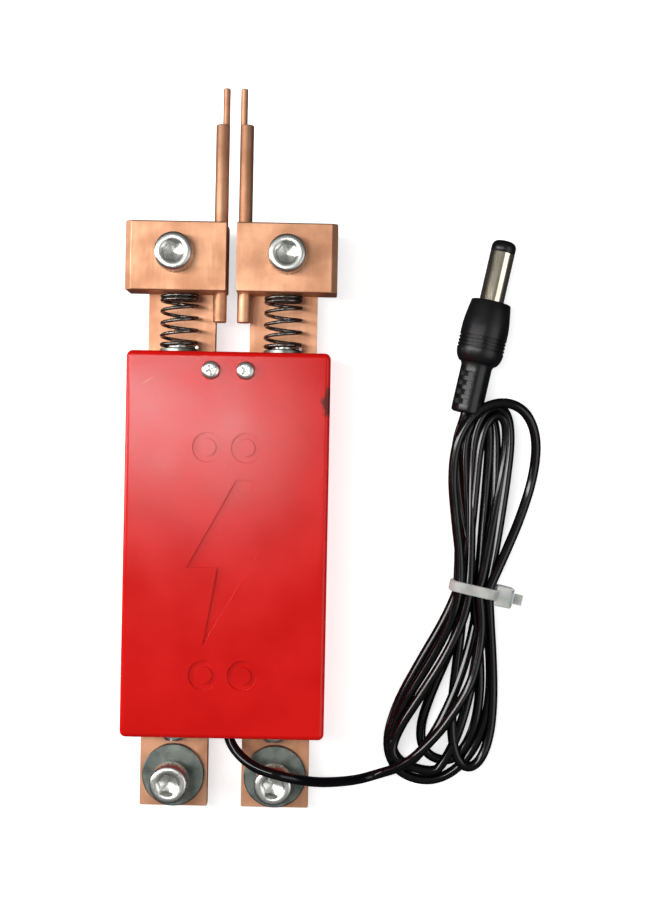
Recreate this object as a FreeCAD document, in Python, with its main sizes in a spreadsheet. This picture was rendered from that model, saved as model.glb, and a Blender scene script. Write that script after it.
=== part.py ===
"""Hand-held resistance spot welding pen with two sprung copper carriers.

X runs across the pen, Y along it towards the electrode tips, Z out of its front.
The pen lies on the flat back of its case at Z = 0, with its cord and plug beside it.
Lengths are in millimetres.
"""
import FreeCAD
import Part
import Sketcher
import math
import os
import re

doc = FreeCAD.newDocument("SpotWeldingPen")
Vector = FreeCAD.Vector
Rotation = FreeCAD.Rotation
Placement = FreeCAD.Placement

LEFT, RIGHT = -1, 1
SIDES = ((LEFT, "left"), (RIGHT, "right"))
ALONG_Y = Rotation(Vector(1, 0, 0), -90)
AGAINST_Y = Rotation(Vector(1, 0, 0), 90)
FACE_BACK = Rotation(Vector(1, 0, 0), 180)
UPRIGHT = Rotation()

SIZES = (
    ("fit", 0.02, "gap between pieces that are clamped together"),
    ("slide_gap", 0.15, "gap round each bar where it slides"),
    ("case_width", 44.0, "case across X"),
    ("case_top", 21.2, "case end face towards the tips"),
    ("case_length", 83.4, "case along Y"),
    ("case_depth", 20.5, "case from back to front"),
    ("case_wall", 2.0, "wall of both shells"),
    ("case_corner", 1.3, "radius of the case corners"),
    ("case_edge", 1.1, "radius of the front and back edges"),
    ("bar_offset", 11.3, "bar centre line from the middle"),
    ("bar_width", 15.0, "copper bar across X"),
    ("bar_thickness", 3.0, "copper bar along Z"),
    ("bar_back", 5.0, "back face of the bars"),
    ("bar_tail", 17.3, "bars beyond the lower end face of the case"),
    ("bar_chamfer", 0.2, "corners of the bars"),
    ("block_inner", 1.1, "inner face of a clamp block from the middle"),
    ("block_width", 22.0, "clamp block across X"),
    ("block_length", 15.1, "clamp block along Y"),
    ("block_depth", 10.0, "clamp block along Z"),
    ("block_low", 34.4, "underside of the clamp blocks"),
    ("block_bevel", 1.3, "bevel of the outer front edge"),
    ("slit_width", 1.0, "slit that lets the clamp close"),
    ("slit_reach", 17.6, "bottom of the slit from the middle"),
    ("rod_offset", 2.65, "electrode axis from the middle"),
    ("rod_height", 12.5, "electrode axis above the back"),
    ("rod_radius", 1.5, "electrode shank"),
    ("rod_foot", 28.0, "lower end of the electrodes"),
    ("rod_end", 71.5, "shoulder of the electrodes"),
    ("tip_radius", 0.75, "electrode tip"),
    ("tip_end", 79.5, "contact face of the tips"),
    ("tip_offset", 0.72, "tip axis from the shank axis"),
    ("tip_chamfer", 0.15, "edge of the contact face"),
    ("screw_offset", 12.2, "clamp screw axis from the middle"),
    ("screw_rise", 8.0, "clamp screw axis above the block underside"),
    ("screw_radius", 2.5, "M5 shank"),
    ("screw_play", 0.1, "radial play of screws in their clearance holes"),
    ("shank_chamfer", 0.4, "ends of the M5 shanks"),
    ("head_radius", 4.25, "M5 socket head"),
    ("head_height", 5.0, "M5 socket head"),
    ("head_chamfer", 0.5, "M5 socket head rim"),
    ("socket_flats", 4.0, "hexagon key size"),
    ("socket_depth", 2.6, "hexagon socket"),
    ("nut_flats", 8.0, "M5 nut across flats"),
    ("nut_height", 3.6, "M5 nut"),
    ("shank_end", 1.2, "end of the M5 shanks above the back"),
    ("terminal_rise", 7.1, "terminal screw axis above the bar end"),
    ("terminal_height", 15.0, "underside of the terminal screw heads"),
    ("washer_radius", 6.9, "terminal washer"),
    ("washer_thickness", 1.5, "terminal washer"),
    ("spring_offset", 11.4, "spring axis from the middle"),
    ("spring_gap", 0.7, "springs to the bars"),
    ("spring_radius", 3.9, "mean radius of the spring coils"),
    ("wire_radius", 0.4, "spring wire"),
    ("spring_turns", 5.25, "turns of each spring"),
    ("seat_lip", 0.3, "spring seat washer beyond the mean radius of the coils"),
    ("seat_thickness", 0.8, "spring seat washer"),
    ("pan_radius", 2.4, "M2.6 pan head"),
    ("pan_height", 1.8, "M2.6 pan head"),
    ("pan_shank", 1.3, "M2.6 shank"),
    ("pan_length", 8.0, "M2.6 shank length"),
    ("base_screw_offset", 11.0, "lower end screws from the middle"),
    ("small_radius", 2.0, "M2 pan head"),
    ("small_height", 1.3, "M2 pan head"),
    ("small_shank", 1.0, "M2 shank"),
    ("small_length", 9.0, "M2 shank length"),
    ("small_offset", 3.75, "M2 screws from the middle"),
    ("small_drop", 4.1, "M2 screws below the top face of the case"),
    ("recess_depth", 0.9, "M2.6 cross recess"),
    ("small_recess", 0.63, "M2 cross recess"),
    ("hole_spare", 0.3, "blind holes beyond the ends of their screws"),
    ("cut_over", 1.0, "cuts beyond the faces that they open"),
    ("pin_chamfer", 0.2, "ends of pins and rods"),
    ("pin_play", 0.05, "radial play of the switch's pins"),
    ("guide_length", 6.5, "both guide blocks along Y"),
    ("notch_low", -3.0, "cord notch of the lower guide, left side"),
    ("notch_high", 8.0, "cord notch of the lower guide, right side"),
    ("notch_floor", 12.0, "cord notch of the lower guide, floor"),
    ("pillar_radius", 2.7, "screw pillars of the shells"),
    ("case_screw_length", 12.0, "rear screws, shank"),
    ("case_screw_sink", 2.1, "rear screws, depth of the head recess"),
    ("case_screw_drop", 12.2, "uppermost rear screw below the top face"),
    ("case_screw_lift", 15.2, "lowest rear screw above the lower end face"),
    ("stop_radius", 1.25, "stop pin"),
    ("stop_offset", 15.5, "stop pin from the middle"),
    ("stop_front", 12.0, "front end of the stop pins"),
    ("stop_gap", 0.02, "stop pin to the guide at rest"),
    ("press_travel", 4.0, "travel of each carrier"),
    ("switch_top", 2.0, "plunger side of the switch body"),
    ("switch_width", 12.8, "switch body across X"),
    ("switch_height", 6.5, "switch body along Y"),
    ("switch_depth", 5.8, "switch body along Z"),
    ("switch_back", 10.2, "back of the switch body"),
    ("peg_spacing", 6.5, "switch mounting holes"),
    ("peg_rise", 1.6, "mounting holes above the terminal side"),
    ("peg_radius", 1.05, "switch pegs"),
    ("peg_collar", 1.9, "spacers round the switch pegs"),
    ("peg_start", 0.8, "back of the switch body to the ends of the pegs"),
    ("pivot_offset", 5.4, "lever pivot from the middle"),
    ("pivot_rise", 0.9, "lever pivot above the switch body"),
    ("lever_reach", 14.2, "lever beyond its pivot"),
    ("lever_thickness", 0.35, "lever sheet"),
    ("lever_width", 3.6, "lever sheet along Z"),
    ("post_offset", 8.0, "trigger post from the middle"),
    ("post_radius", 1.4, "trigger post"),
    ("post_front", 15.0, "front end of the trigger post"),
    ("contact_gap", 0.12, "post to lever and lever to plunger"),
    ("plunger_travel", 0.78, "travel of the plunger"),
    ("plunger_offset", 2.0, "switch plunger from the middle"),
    ("plunger_radius", 0.8, "switch plunger"),
    ("plunger_depth", 1.6, "plunger inside the body at rest"),
    ("plunger_reach", 1.14, "plunger beyond the body at rest"),
    ("blade_width", 1.2, "switch terminals"),
    ("blade_thickness", 0.5, "switch terminals"),
    ("blade_length", 3.2, "switch terminals"),
    ("blade_spacing", 5.08, "switch terminals"),
    ("lead_radius", 0.5, "inner leads"),
    ("lead_spacing", 0.55, "inner leads from the middle of the cord"),
    ("cord_radius", 1.1, "cord"),
    ("cord_exit_offset", 1.2, "cord exit from the middle"),
    ("cord_exit_height", 16.0, "cord exit above the back"),
    ("bush_radius", 1.9, "cord bush in the wall"),
    ("bush_collar", 2.35, "cord bush inside the wall"),
    ("bush_collar_length", 1.0, "cord bush inside the wall"),
    ("hank_height", 7.2, "cord hank"),
    ("tie_width", 2.4, "cable tie strap"),
    ("tie_thickness", 0.9, "cable tie strap"),
    ("tie_inner_width", 9.0, "space inside the cable tie"),
    ("tie_inner_height", 6.4, "space inside the cable tie"),
    ("tie_head_width", 4.0, "cable tie head"),
    ("tie_head_length", 4.6, "cable tie head"),
    ("tie_tail_length", 2.4, "cut end of the strap"),
    ("tie_corner", 1.6, "corners of the strap"),
    ("tie_head_height", 5.1, "cable tie head"),
    ("tie_head_rise", 1.3, "underside of the head above that of the strap"),
    ("tie_tail_rise", 3.4, "cut end above the underside of the strap"),
    ("plug_height", 5.4, "plug axis above the table"),
    ("plug_pin_radius", 2.75, "plug barrel, outside"),
    ("plug_bore_radius", 1.05, "plug barrel, inside"),
    ("plug_pin_length", 14.0, "plug barrel beyond the housing"),
    ("plug_tip_length", 2.6, "insulating tip of the barrel"),
    ("plug_housing_length", 14.3, "plug housing"),
    ("plug_front_radius", 4.5, "plug housing at the barrel"),
    ("plug_rear_radius", 5.3, "plug housing at the relief"),
    ("relief_length", 11.3, "plug strain relief"),
    ("relief_radius", 3.5, "plug strain relief"),
    ("relief_slot", 1.05, "slots of the strain relief"),
    ("relief_groove", 0.7, "slots of the strain relief, depth"),
    ("relief_collar", 1.6, "end collar of the strain relief"),
    ("shoulder_drop", 1.2, "rounded shoulder of the plug housing, radius lost"),
    ("shoulder_length", 2.8, "rounded shoulder of the plug housing"),
    ("nose_length", 7.0, "taper of the plug housing towards the barrel"),
    ("nose_edge", 0.5, "edge of the plug housing at the barrel"),
    ("barrel_wall", 0.5, "metal sleeve of the plug barrel"),
    ("contact_wall", 0.3, "inner contact of the plug barrel"),
    ("contact_recess", 0.6, "inner contact behind the end of the barrel"),
    ("tip_round", 0.7, "rounded end of the insulating tip"),
    ("mark_stroke", 1.3, "engraved rings"),
    ("spot_radius", 3.2, "engraved rings"),
    ("eye_radius", 0.65, "lever eye"),
    ("pivot_radius", 0.35, "lever pivot pin"),
    ("ear_thickness", 0.8, "ears that hold the pivot pin"),
    ("ear_root", 0.2, "ears below the top of the switch body"),
    ("mark_depth", 0.5, "engraved strokes"),
)

# Route of the cord beyond the inside of its bush, as far as the hank.
CORD_ROUTE = (
    (1.2, -67.2, 16.0),
    (3.0, -71.4, 19.4),
    (7.4, -72.9, 23.9),
    (17.2, -72.3, 23.9),
    (22.4, -73.9, 14.4),
    (26.9, -75.7, 4.6),
    (33.6, -74.6, 1.25),
    (39.4, -71.4, 1.2),
)
# Outline of the tied hank, from its lower left lobe anticlockwise.
HANK_OUTLINE = (
    (37.9, -71.6), (45.3, -75.3), (54.4, -72.9), (60.0, -65.5), (61.2, -52.0), (59.6, -38.0),
    (59.9, -30.0), (65.4, -17.2), (69.6, -4.0), (67.6, 7.2), (61.6, 11.8), (57.0, 7.4),
    (52.0, 3.6), (49.3, -5.0), (50.0, -18.0), (50.4, -30.0), (42.9, -46.6), (36.9, -57.4),
    (35.5, -65.2),
)
TIE_CENTRE = (55.1, -30.4)
TIE_TURN = -12.0
PLUG_END = (52.6, 9.3)
TAIL_LENGTH = 5.4
PLUG_TURN = -11.8
# Inner leads between the bush and the switch terminals.
LEAD_BENDS = (
    ((0.65, -57.0, 16.0), (3.6, -50.5, 14.2), (4.6, -38.0, 13.6), (4.6, -22.0, 13.4), (5.08, -10.0, 13.1)),
    ((1.75, -57.0, 16.0), (5.8, -50.0, 14.2), (6.6, -36.0, 13.6), (5.6, -20.0, 13.4), (1.4, -14.5, 13.2),
     (0.0, -10.5, 13.1)),
)
# Engraved bolt, and the weld spots at its two ends.
BOLT_OUTLINE = (
    (2.2, -6.5), (-8.2, -25.4), (-1.6, -25.4), (-4.4, -42.0), (8.4, -20.2), (1.6, -20.2), (6.4, -6.5),
)
SPOT_RISES = (0.5, -48.5)
SPOT_OFFSET = 4.2
# Dome of a pan head and its cross recess, as shares of the head's radius and height.
PAN_DOME = ((1.0, 0.55), (0.8, 0.9), (0.45, 1.0))
CROSS_ARM = 0.52
CROSS_HALF = 0.13
RELIEF_SLOTS = 4
ARC_SHARE = 0.45
TINY = 1e-6


def make_sheet():
    """Write the driving dimensions and their names to the sheet."""
    page = doc.addObject("Spreadsheet::Sheet", "Sizes")
    for row, (name, value, note) in enumerate(SIZES, start=1):
        page.set("A%d" % row, str(value))
        page.setAlias("A%d" % row, name)
        page.set("B%d" % row, note)
    doc.recompute()
    return page


sheet = make_sheet()
NAMES = {name for name, value, note in SIZES}


def size(name):
    """Return a driving dimension as a number."""
    return float(sheet.get(name))


def formula(text):
    """Return an expression in which each size name points at its cell."""
    return re.sub("[a-z_]+", lambda word: "Sizes." + word[0] if word[0] in NAMES else word[0], str(text))


def bind(item, field, text):
    """Bind one property of a document object to the sheet."""
    item.setExpression(field, formula(text))


def place(item, at, turn=UPRIGHT):
    """Turn an object and bind its position to the sheet."""
    item.Placement = Placement(Vector(), turn)
    for axis, text in zip("xyz", at):
        bind(item, "Placement.Base." + axis, text)


def mirrored(side, low, high):
    """Return the range from low to high on the given side of the middle."""
    return (low, high) if side == RIGHT else ("-(%s)" % high, "-(%s)" % low)


def sided(side, text):
    """Return a distance from the middle as a coordinate on the given side."""
    return text if side == RIGHT else "-(%s)" % text


CASE_FOOT = "(case_top - case_length)"
FRONT_INSIDE = "(case_depth - case_wall)"
TOP_INSIDE = "(case_top - case_wall)"
FOOT_INSIDE = "(case_top - case_length + case_wall)"
BAR_FRONT = "(bar_back + bar_thickness)"
PARTING = BAR_FRONT
BAR_FOOT = "(case_top - case_length - bar_tail)"
BAR_INNER = "(bar_offset - bar_width / 2)"
BAR_OUTER = "(bar_offset + bar_width / 2)"
BLOCK_TOP = "(block_low + block_length)"
BLOCK_FRONT = "(bar_back + bar_thickness + block_depth)"
GUIDE_FOOT = "(case_top - case_wall - guide_length)"
SCREW_RISE = "(block_low + screw_rise)"
TERMINAL_RISE = "(case_top - case_length - bar_tail + terminal_rise)"
SCREW_HOLE = "(screw_radius + screw_play)"
SPRING_HEIGHT = "(bar_back + bar_thickness + spring_gap + spring_radius + wire_radius)"
STOP_RISE = "(case_top - case_wall - guide_length - stop_gap - stop_radius)"
SMALL_RISE = "(case_top - small_drop)"
CASE_SCREW_HIGH = "(case_top - case_screw_drop)"
CASE_SCREW_LOW = "(case_top - case_length + case_screw_lift)"
CASE_SCREW_RISES = (CASE_SCREW_HIGH, "(%s + %s) / 2" % (CASE_SCREW_HIGH, CASE_SCREW_LOW), CASE_SCREW_LOW)
PEG_RISE = "(switch_top - switch_height + peg_rise)"
PIVOT_RISE = "(switch_top + pivot_rise)"
LEVER_RISE = "(press_travel / (pivot_offset + post_offset))"
POST_RISE = "(switch_top + pivot_rise + lever_thickness / 2 + contact_gap + press_travel + post_radius)"


def new_body(name):
    """Start a solid of its own."""
    return doc.addObject("PartDesign::Body", name)


def sketch_on(body, role, offset="0"):
    """Attach a sketch to an origin plane of its own body, moved along the plane's normal."""
    plane = next(item for item in body.Origin.OriginFeatures if item.Role == role)
    sketch = body.newObject("Sketcher::SketchObject", body.Name + "_sketch")
    sketch.AttachmentSupport = [(plane, "")]
    sketch.MapMode = "FlatFace"
    bind(sketch, "AttachmentOffset.Base.z", offset)
    return sketch


def add_polygon(sketch, corners):
    """Add a closed outline whose corners are bound to the sheet."""
    count = len(corners)
    first = sketch.GeometryCount
    spots = [
        Vector(math.cos(2 * math.pi * index / count), math.sin(2 * math.pi * index / count), 0)
        for index in range(count)
    ]
    for index in range(count):
        sketch.addGeometry(Part.LineSegment(spots[index], spots[(index + 1) % count]), False)
    for index in range(count):
        following = first + (index + 1) % count
        sketch.addConstraint(Sketcher.Constraint("Coincident", first + index, 2, following, 1))
    for index, (across, along) in enumerate(corners):
        spot = spots[index]
        for kind, start, text in (("DistanceX", spot.x, across), ("DistanceY", spot.y, along)):
            number = sketch.addConstraint(Sketcher.Constraint(kind, -1, 1, first + index, 1, start))
            bind(sketch, "Constraints[%d]" % number, text)


def add_rectangle(sketch, low, high, bottom, top):
    """Add a rectangle between two bound corners."""
    add_polygon(sketch, ((low, bottom), (high, bottom), (high, top), (low, top)))


def add_circle(sketch, across, along, radius):
    """Add a circle with a bound centre and radius."""
    item = sketch.addGeometry(Part.Circle(Vector(), Vector(0, 0, 1), 1), False)
    for kind, text in (("DistanceX", across), ("DistanceY", along)):
        number = sketch.addConstraint(Sketcher.Constraint(kind, -1, 1, item, 3, 0.0))
        bind(sketch, "Constraints[%d]" % number, text)
    number = sketch.addConstraint(Sketcher.Constraint("Radius", item, 1.0))
    bind(sketch, "Constraints[%d]" % number, radius)


def add_hexagon(sketch, across, along, flats):
    """Add a hexagon given by its size across flats."""
    outer = "((%s) / sqrt(3))" % flats
    half = "((%s) / sqrt(12))" % flats
    add_polygon(sketch, tuple(
        ("%s + (%s)" % (across, x_part), "%s + (%s)" % (along, y_part))
        for x_part, y_part in (
            (outer, "0"), (half, "(%s) / 2" % flats), ("-" + half, "(%s) / 2" % flats),
            ("-" + outer, "0"), ("-" + half, "-(%s) / 2" % flats), (half, "-(%s) / 2" % flats),
        )
    ))


def pad(body, sketch, length, reverse=False):
    """Extrude a sketch along its normal."""
    feature = body.newObject("PartDesign::Pad", body.Name + "_pad")
    feature.Profile = sketch
    feature.Reversed = reverse
    bind(feature, "Length", length)
    doc.recompute()
    return feature


def pocket(body, sketch, depth, along_normal=False):
    """Cut a sketch into its body, against its normal unless told otherwise."""
    before = body.Shape.Volume
    feature = body.newObject("PartDesign::Pocket", body.Name + "_pocket")
    feature.Profile = sketch
    feature.Reversed = along_normal
    bind(feature, "Length", depth)
    doc.recompute()
    if body.Shape.Volume > before - TINY:
        raise ValueError("a pocket of %s cuts nothing" % body.Name)
    return feature


def pick_edges(body, test):
    """Return the names of the body's edges that pass a test."""
    edges = enumerate(body.Shape.Edges, start=1)
    return ["Edge%d" % number for number, edge in edges if test(edge)]


def runs_along(edge, axis):
    """Tell whether a straight edge is parallel to an axis."""
    box = edge.BoundBox
    spans = {"x": box.XLength, "y": box.YLength, "z": box.ZLength}
    return edge.Curve.TypeId == "Part::GeomLine" and abs(spans[axis] - edge.Length) < TINY


def dress(body, kind, field, amount, test):
    """Round or bevel the edges that pass a test."""
    base = body.Tip
    names = pick_edges(body, test)
    feature = body.newObject("PartDesign::" + kind, body.Name + "_" + kind.lower())
    feature.Base = (base, names)
    bind(feature, field, amount)
    body.Tip = feature
    doc.recompute()
    return feature


def round_edges(body, radius, test):
    """Fillet the edges that pass a test."""
    return dress(body, "Fillet", "Radius", radius, test)


def bevel_edges(body, amount, test):
    """Chamfer the edges that pass a test."""
    return dress(body, "Chamfer", "Size", amount, test)


def turned(name, profile, at, turn=UPRIGHT):
    """Make a turned piece from its half section, given as radius and height."""
    body = new_body(name)
    sketch = sketch_on(body, "XZ_Plane")
    add_polygon(sketch, profile)
    feature = body.newObject("PartDesign::Revolution", name + "_turned")
    feature.Profile = sketch
    feature.ReferenceAxis = (sketch, ["V_Axis"])
    feature.Angle = 360
    place(body, at, turn)
    doc.recompute()
    return body


def flat_ring(name, outer, inner, thickness, at, turn=UPRIGHT):
    """Make a washer with its underside at the given place."""
    profile = ((inner, "0"), (outer, "0"), (outer, thickness), (inner, thickness))
    return turned(name, profile, at, turn)


def plain_pin(name, radius, length, at, turn=UPRIGHT):
    """Make a straight pin with small chamfers."""
    inner = "%s - pin_chamfer" % radius
    profile = (
        ("0", "0"), (inner, "0"), (radius, "pin_chamfer"),
        (radius, "%s - pin_chamfer" % length), (inner, length), ("0", length),
    )
    return turned(name, profile, at, turn)


def cap_screw(name, at, shank):
    """Make an M5 socket head cap screw with the underside of its head at the given place."""
    rim = "head_radius - head_chamfer"
    profile = (
        ("0", "-(%s)" % shank), ("screw_radius - shank_chamfer", "-(%s)" % shank),
        ("screw_radius", "shank_chamfer - (%s)" % shank), ("screw_radius", "0"), ("head_radius", "0"),
        ("head_radius", "head_height - head_chamfer"), (rim, "head_height"), ("0", "head_height"),
    )
    body = turned(name, profile, at)
    sketch = sketch_on(body, "XY_Plane", "head_height")
    add_hexagon(sketch, "0", "0", "socket_flats")
    pocket(body, sketch, "socket_depth")
    return body


def pan_screw(name, at, turn, head, height, shank, length, recess="recess_depth"):
    """Make a pan head screw with the underside of its head at the given place."""
    dome = tuple(("%s * %s" % (head, across), "%s * %s" % (height, up)) for across, up in PAN_DOME)
    profile = (
        ("0", "-(%s)" % length), (shank, "%s - (%s)" % (shank, length)), (shank, "0"), (head, "0"),
    ) + dome + (("0", height),)
    body = turned(name, profile, at, turn)
    sketch = sketch_on(body, "XY_Plane", height)
    arm = "%s * %s" % (head, CROSS_ARM)
    half = "%s * %s" % (head, CROSS_HALF)
    add_polygon(sketch, (
        (arm, "-(%s)" % half), (arm, half), (half, half), (half, arm), ("-(%s)" % half, arm),
        ("-(%s)" % half, half), ("-(%s)" % arm, half), ("-(%s)" % arm, "-(%s)" % half),
        ("-(%s)" % half, "-(%s)" % half), ("-(%s)" % half, "-(%s)" % arm), (half, "-(%s)" % arm),
        (half, "-(%s)" % half),
    ))
    pocket(body, sketch, recess)
    return body


def hex_nut(name, at):
    """Make an M5 nut with its back face at the given place."""
    body = new_body(name)
    sketch = sketch_on(body, "XY_Plane")
    add_hexagon(sketch, "0", "0", "nut_flats")
    add_circle(sketch, "0", "0", "screw_radius + fit")
    pad(body, sketch, "nut_height")
    place(body, at)
    doc.recompute()
    return body


def group(name, pieces):
    """Gather identical separate pieces in one node."""
    item = doc.addObject("Part::Compound", name)
    item.Links = pieces
    doc.recompute()
    return item


def round_path(points):
    """Return a wire of straight runs joined by the largest tangent arcs, and the arc radii."""
    spots = [Vector(*point) for point in points]
    runs = [after.sub(before) for before, after in zip(spots, spots[1:])]
    edges, radii = [], []
    start = spots[0]
    for spot, before, after in zip(spots[1:-1], runs, runs[1:]):
        half = before.getAngle(after) / 2
        reach = ARC_SHARE * min(before.Length, after.Length)
        way_in = before * (1 / before.Length)
        way_out = after * (1 / after.Length)
        first = spot - way_in * reach
        last = spot + way_out * reach
        radius = reach / math.tan(half)
        inward = (way_out - way_in).normalize()
        middle = spot + inward * (radius / math.cos(half) - radius)
        edges.append(Part.LineSegment(start, first).toShape())
        edges.append(Part.Arc(first, middle, last).toShape())
        radii.append(radius)
        start = last
    edges.append(Part.LineSegment(start, spots[-1]).toShape())
    return Part.Wire(edges), radii


def tube_shape(points, radius):
    """Sweep a round section along a rounded route."""
    path, radii = round_path(points)
    way = Vector(*points[1]).sub(Vector(*points[0]))
    section = Part.Wire(Part.makeCircle(radius, Vector(*points[0]), way))
    shape = path.makePipeShell([section], True, True)
    drift = shape.Volume / (math.pi * radius ** 2 * path.Length) - 1
    print("tube of %.1f mm, volume off by %.3f %%" % (path.Length, 100 * drift))
    print("arc radii in diameters:", " ".join("%.1f" % (bend / radius / 2) for bend in radii))
    return shape


def loose_shape(name, shape):
    """Hold a shape that no feature makes as a document object."""
    item = doc.addObject("Part::Feature", name)
    item.Shape = shape
    return item


def shell_half(name, low, height):
    """Make the outer block of a shell with its cavity still closed."""
    body = new_body(name)
    sketch = sketch_on(body, "XY_Plane", low)
    add_rectangle(sketch, "-case_width / 2", "case_width / 2", CASE_FOOT, "case_top")
    pad(body, sketch, height)
    round_edges(body, "case_corner", lambda edge: runs_along(edge, "z"))
    return body


def cavity_outline(sketch):
    """Draw the inside of the case."""
    reach = "(case_width / 2 - case_wall)"
    add_rectangle(sketch, "-" + reach, reach, FOOT_INSIDE, TOP_INSIDE)


def build_rear_shell():
    """Make the back of the case, with the bar slots and three screw pillars."""
    body = shell_half("rear_shell", "0", PARTING)
    round_edges(body, "case_edge", lambda edge: edge.BoundBox.ZMax < TINY)
    sketch = sketch_on(body, "XY_Plane", PARTING)
    cavity_outline(sketch)
    pocket(body, sketch, PARTING + " - case_wall")
    sketch = sketch_on(body, "XY_Plane", "case_wall")
    for rise in CASE_SCREW_RISES:
        add_circle(sketch, "0", rise, "pillar_radius")
    pad(body, sketch, PARTING + " - case_wall")
    sketch = sketch_on(body, "XY_Plane", PARTING)
    for side in (LEFT, RIGHT):
        low, high = mirrored(side, BAR_INNER + " - slide_gap", BAR_OUTER + " + slide_gap")
        add_rectangle(sketch, low, high, CASE_FOOT + " - cut_over", "case_top + cut_over")
    pocket(body, sketch, "bar_thickness + slide_gap")
    steps = (("pan_radius + screw_play", "case_screw_sink"), ("pan_shank + screw_play", PARTING))
    for radius, depth in steps:
        sketch = sketch_on(body, "XY_Plane", "0")
        for rise in CASE_SCREW_RISES:
            add_circle(sketch, "0", rise, radius)
        pocket(body, sketch, depth, along_normal=True)
    return body


def engrave_mark(body):
    """Cut two weld spots, a bolt and two battery tabs into the front face."""
    rings = sketch_on(body, "XY_Plane", "case_depth")
    for rise in SPOT_RISES:
        for side in (LEFT, RIGHT):
            add_circle(rings, side * SPOT_OFFSET, rise, "spot_radius")
            add_circle(rings, side * SPOT_OFFSET, rise, "spot_radius - mark_stroke")
    pocket(body, rings, "mark_depth")
    bolt = sketch_on(body, "XY_Plane", "case_depth")
    add_polygon(bolt, BOLT_OUTLINE)
    pocket(body, bolt, "mark_depth")


def build_front_shell():
    """Make the front of the case, with its pillars, switch pegs, end holes and engraving."""
    body = shell_half("front_shell", PARTING, "case_depth - " + PARTING)
    round_edges(body, "case_edge", lambda edge: edge.BoundBox.ZMin > size("case_depth") - TINY)
    sketch = sketch_on(body, "XY_Plane", PARTING)
    cavity_outline(sketch)
    pocket(body, sketch, "%s - %s" % (FRONT_INSIDE, PARTING), along_normal=True)
    sketch = sketch_on(body, "XY_Plane", PARTING)
    for rise in CASE_SCREW_RISES:
        add_circle(sketch, "0", rise, "pillar_radius")
    pad(body, sketch, "%s - %s" % (FRONT_INSIDE, PARTING))
    spacers = ("switch_back + switch_depth", "peg_collar")
    pegs = ("switch_back + peg_start", "peg_radius")
    for low, radius in (spacers, pegs):
        sketch = sketch_on(body, "XY_Plane", low)
        for side in (LEFT, RIGHT):
            add_circle(sketch, sided(side, "peg_spacing / 2"), PEG_RISE, radius)
        pad(body, sketch, "%s - (%s)" % (FRONT_INSIDE, low))
    sketch = sketch_on(body, "XY_Plane", PARTING)
    for rise in CASE_SCREW_RISES:
        add_circle(sketch, "0", rise, "pan_shank")
    depth = "case_screw_length + case_screw_sink - %s + hole_spare" % PARTING
    pocket(body, sketch, depth, along_normal=True)
    sketch = sketch_on(body, "XY_Plane", "case_depth")
    for side in (LEFT, RIGHT):
        add_circle(sketch, sided(side, "small_offset"), SMALL_RISE, "small_shank + screw_play")
    pocket(body, sketch, "case_wall + hole_spare")
    sketch = sketch_on(body, "XZ_Plane", "-(case_top)")
    for side in (LEFT, RIGHT):
        add_circle(sketch, sided(side, "spring_offset"), SPRING_HEIGHT, "pan_shank + screw_play")
    pocket(body, sketch, "case_wall + hole_spare", along_normal=True)
    sketch = sketch_on(body, "XZ_Plane", "-" + CASE_FOOT)
    for side in (LEFT, RIGHT):
        add_circle(sketch, sided(side, "base_screw_offset"), SPRING_HEIGHT, "pan_shank + screw_play")
    add_circle(sketch, "cord_exit_offset", "cord_exit_height", "bush_radius + fit")
    pocket(body, sketch, "case_wall + hole_spare")
    engrave_mark(body)
    return body


def guide_block(name, foot):
    """Make an insulating block with a sliding slot for each bar."""
    body = new_body(name)
    sketch = sketch_on(body, "XZ_Plane", "-(%s + guide_length)" % foot)
    reach = "(case_width / 2 - case_wall - fit)"
    add_rectangle(sketch, "-" + reach, reach, "case_wall + fit", FRONT_INSIDE + " - fit")
    for side in (LEFT, RIGHT):
        low, high = mirrored(side, BAR_INNER + " - slide_gap", BAR_OUTER + " + slide_gap")
        add_rectangle(sketch, low, high, "bar_back - slide_gap", BAR_FRONT + " + slide_gap")
    pad(body, sketch, "guide_length")
    return body


def build_upper_guide():
    """Make the guide under the top wall, with its screw holes."""
    body = guide_block("upper_guide", GUIDE_FOOT)
    sketch = sketch_on(body, "XY_Plane", FRONT_INSIDE)
    for side in (LEFT, RIGHT):
        add_circle(sketch, sided(side, "small_offset"), SMALL_RISE, "small_shank + fit")
    pocket(body, sketch, "small_length - case_wall + hole_spare")
    sketch = sketch_on(body, "XZ_Plane", "-" + TOP_INSIDE)
    for side in (LEFT, RIGHT):
        add_circle(sketch, sided(side, "spring_offset"), SPRING_HEIGHT, "pan_shank + fit")
    pocket(body, sketch, "pan_length - case_wall - seat_thickness + hole_spare", along_normal=True)
    return body


def build_lower_guide():
    """Make the guide at the cord end, with a notch that lets the cord in."""
    body = guide_block("lower_guide", FOOT_INSIDE)
    sketch = sketch_on(body, "XY_Plane", FRONT_INSIDE)
    add_rectangle(sketch, "notch_low", "notch_high", FOOT_INSIDE + " - cut_over",
                  FOOT_INSIDE + " + guide_length + cut_over")
    pocket(body, sketch, FRONT_INSIDE + " - notch_floor")
    sketch = sketch_on(body, "XZ_Plane", "-" + FOOT_INSIDE)
    for side in (LEFT, RIGHT):
        add_circle(sketch, sided(side, "base_screw_offset"), SPRING_HEIGHT, "pan_shank + fit")
    pocket(body, sketch, "pan_length - case_wall + hole_spare")
    return body


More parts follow.
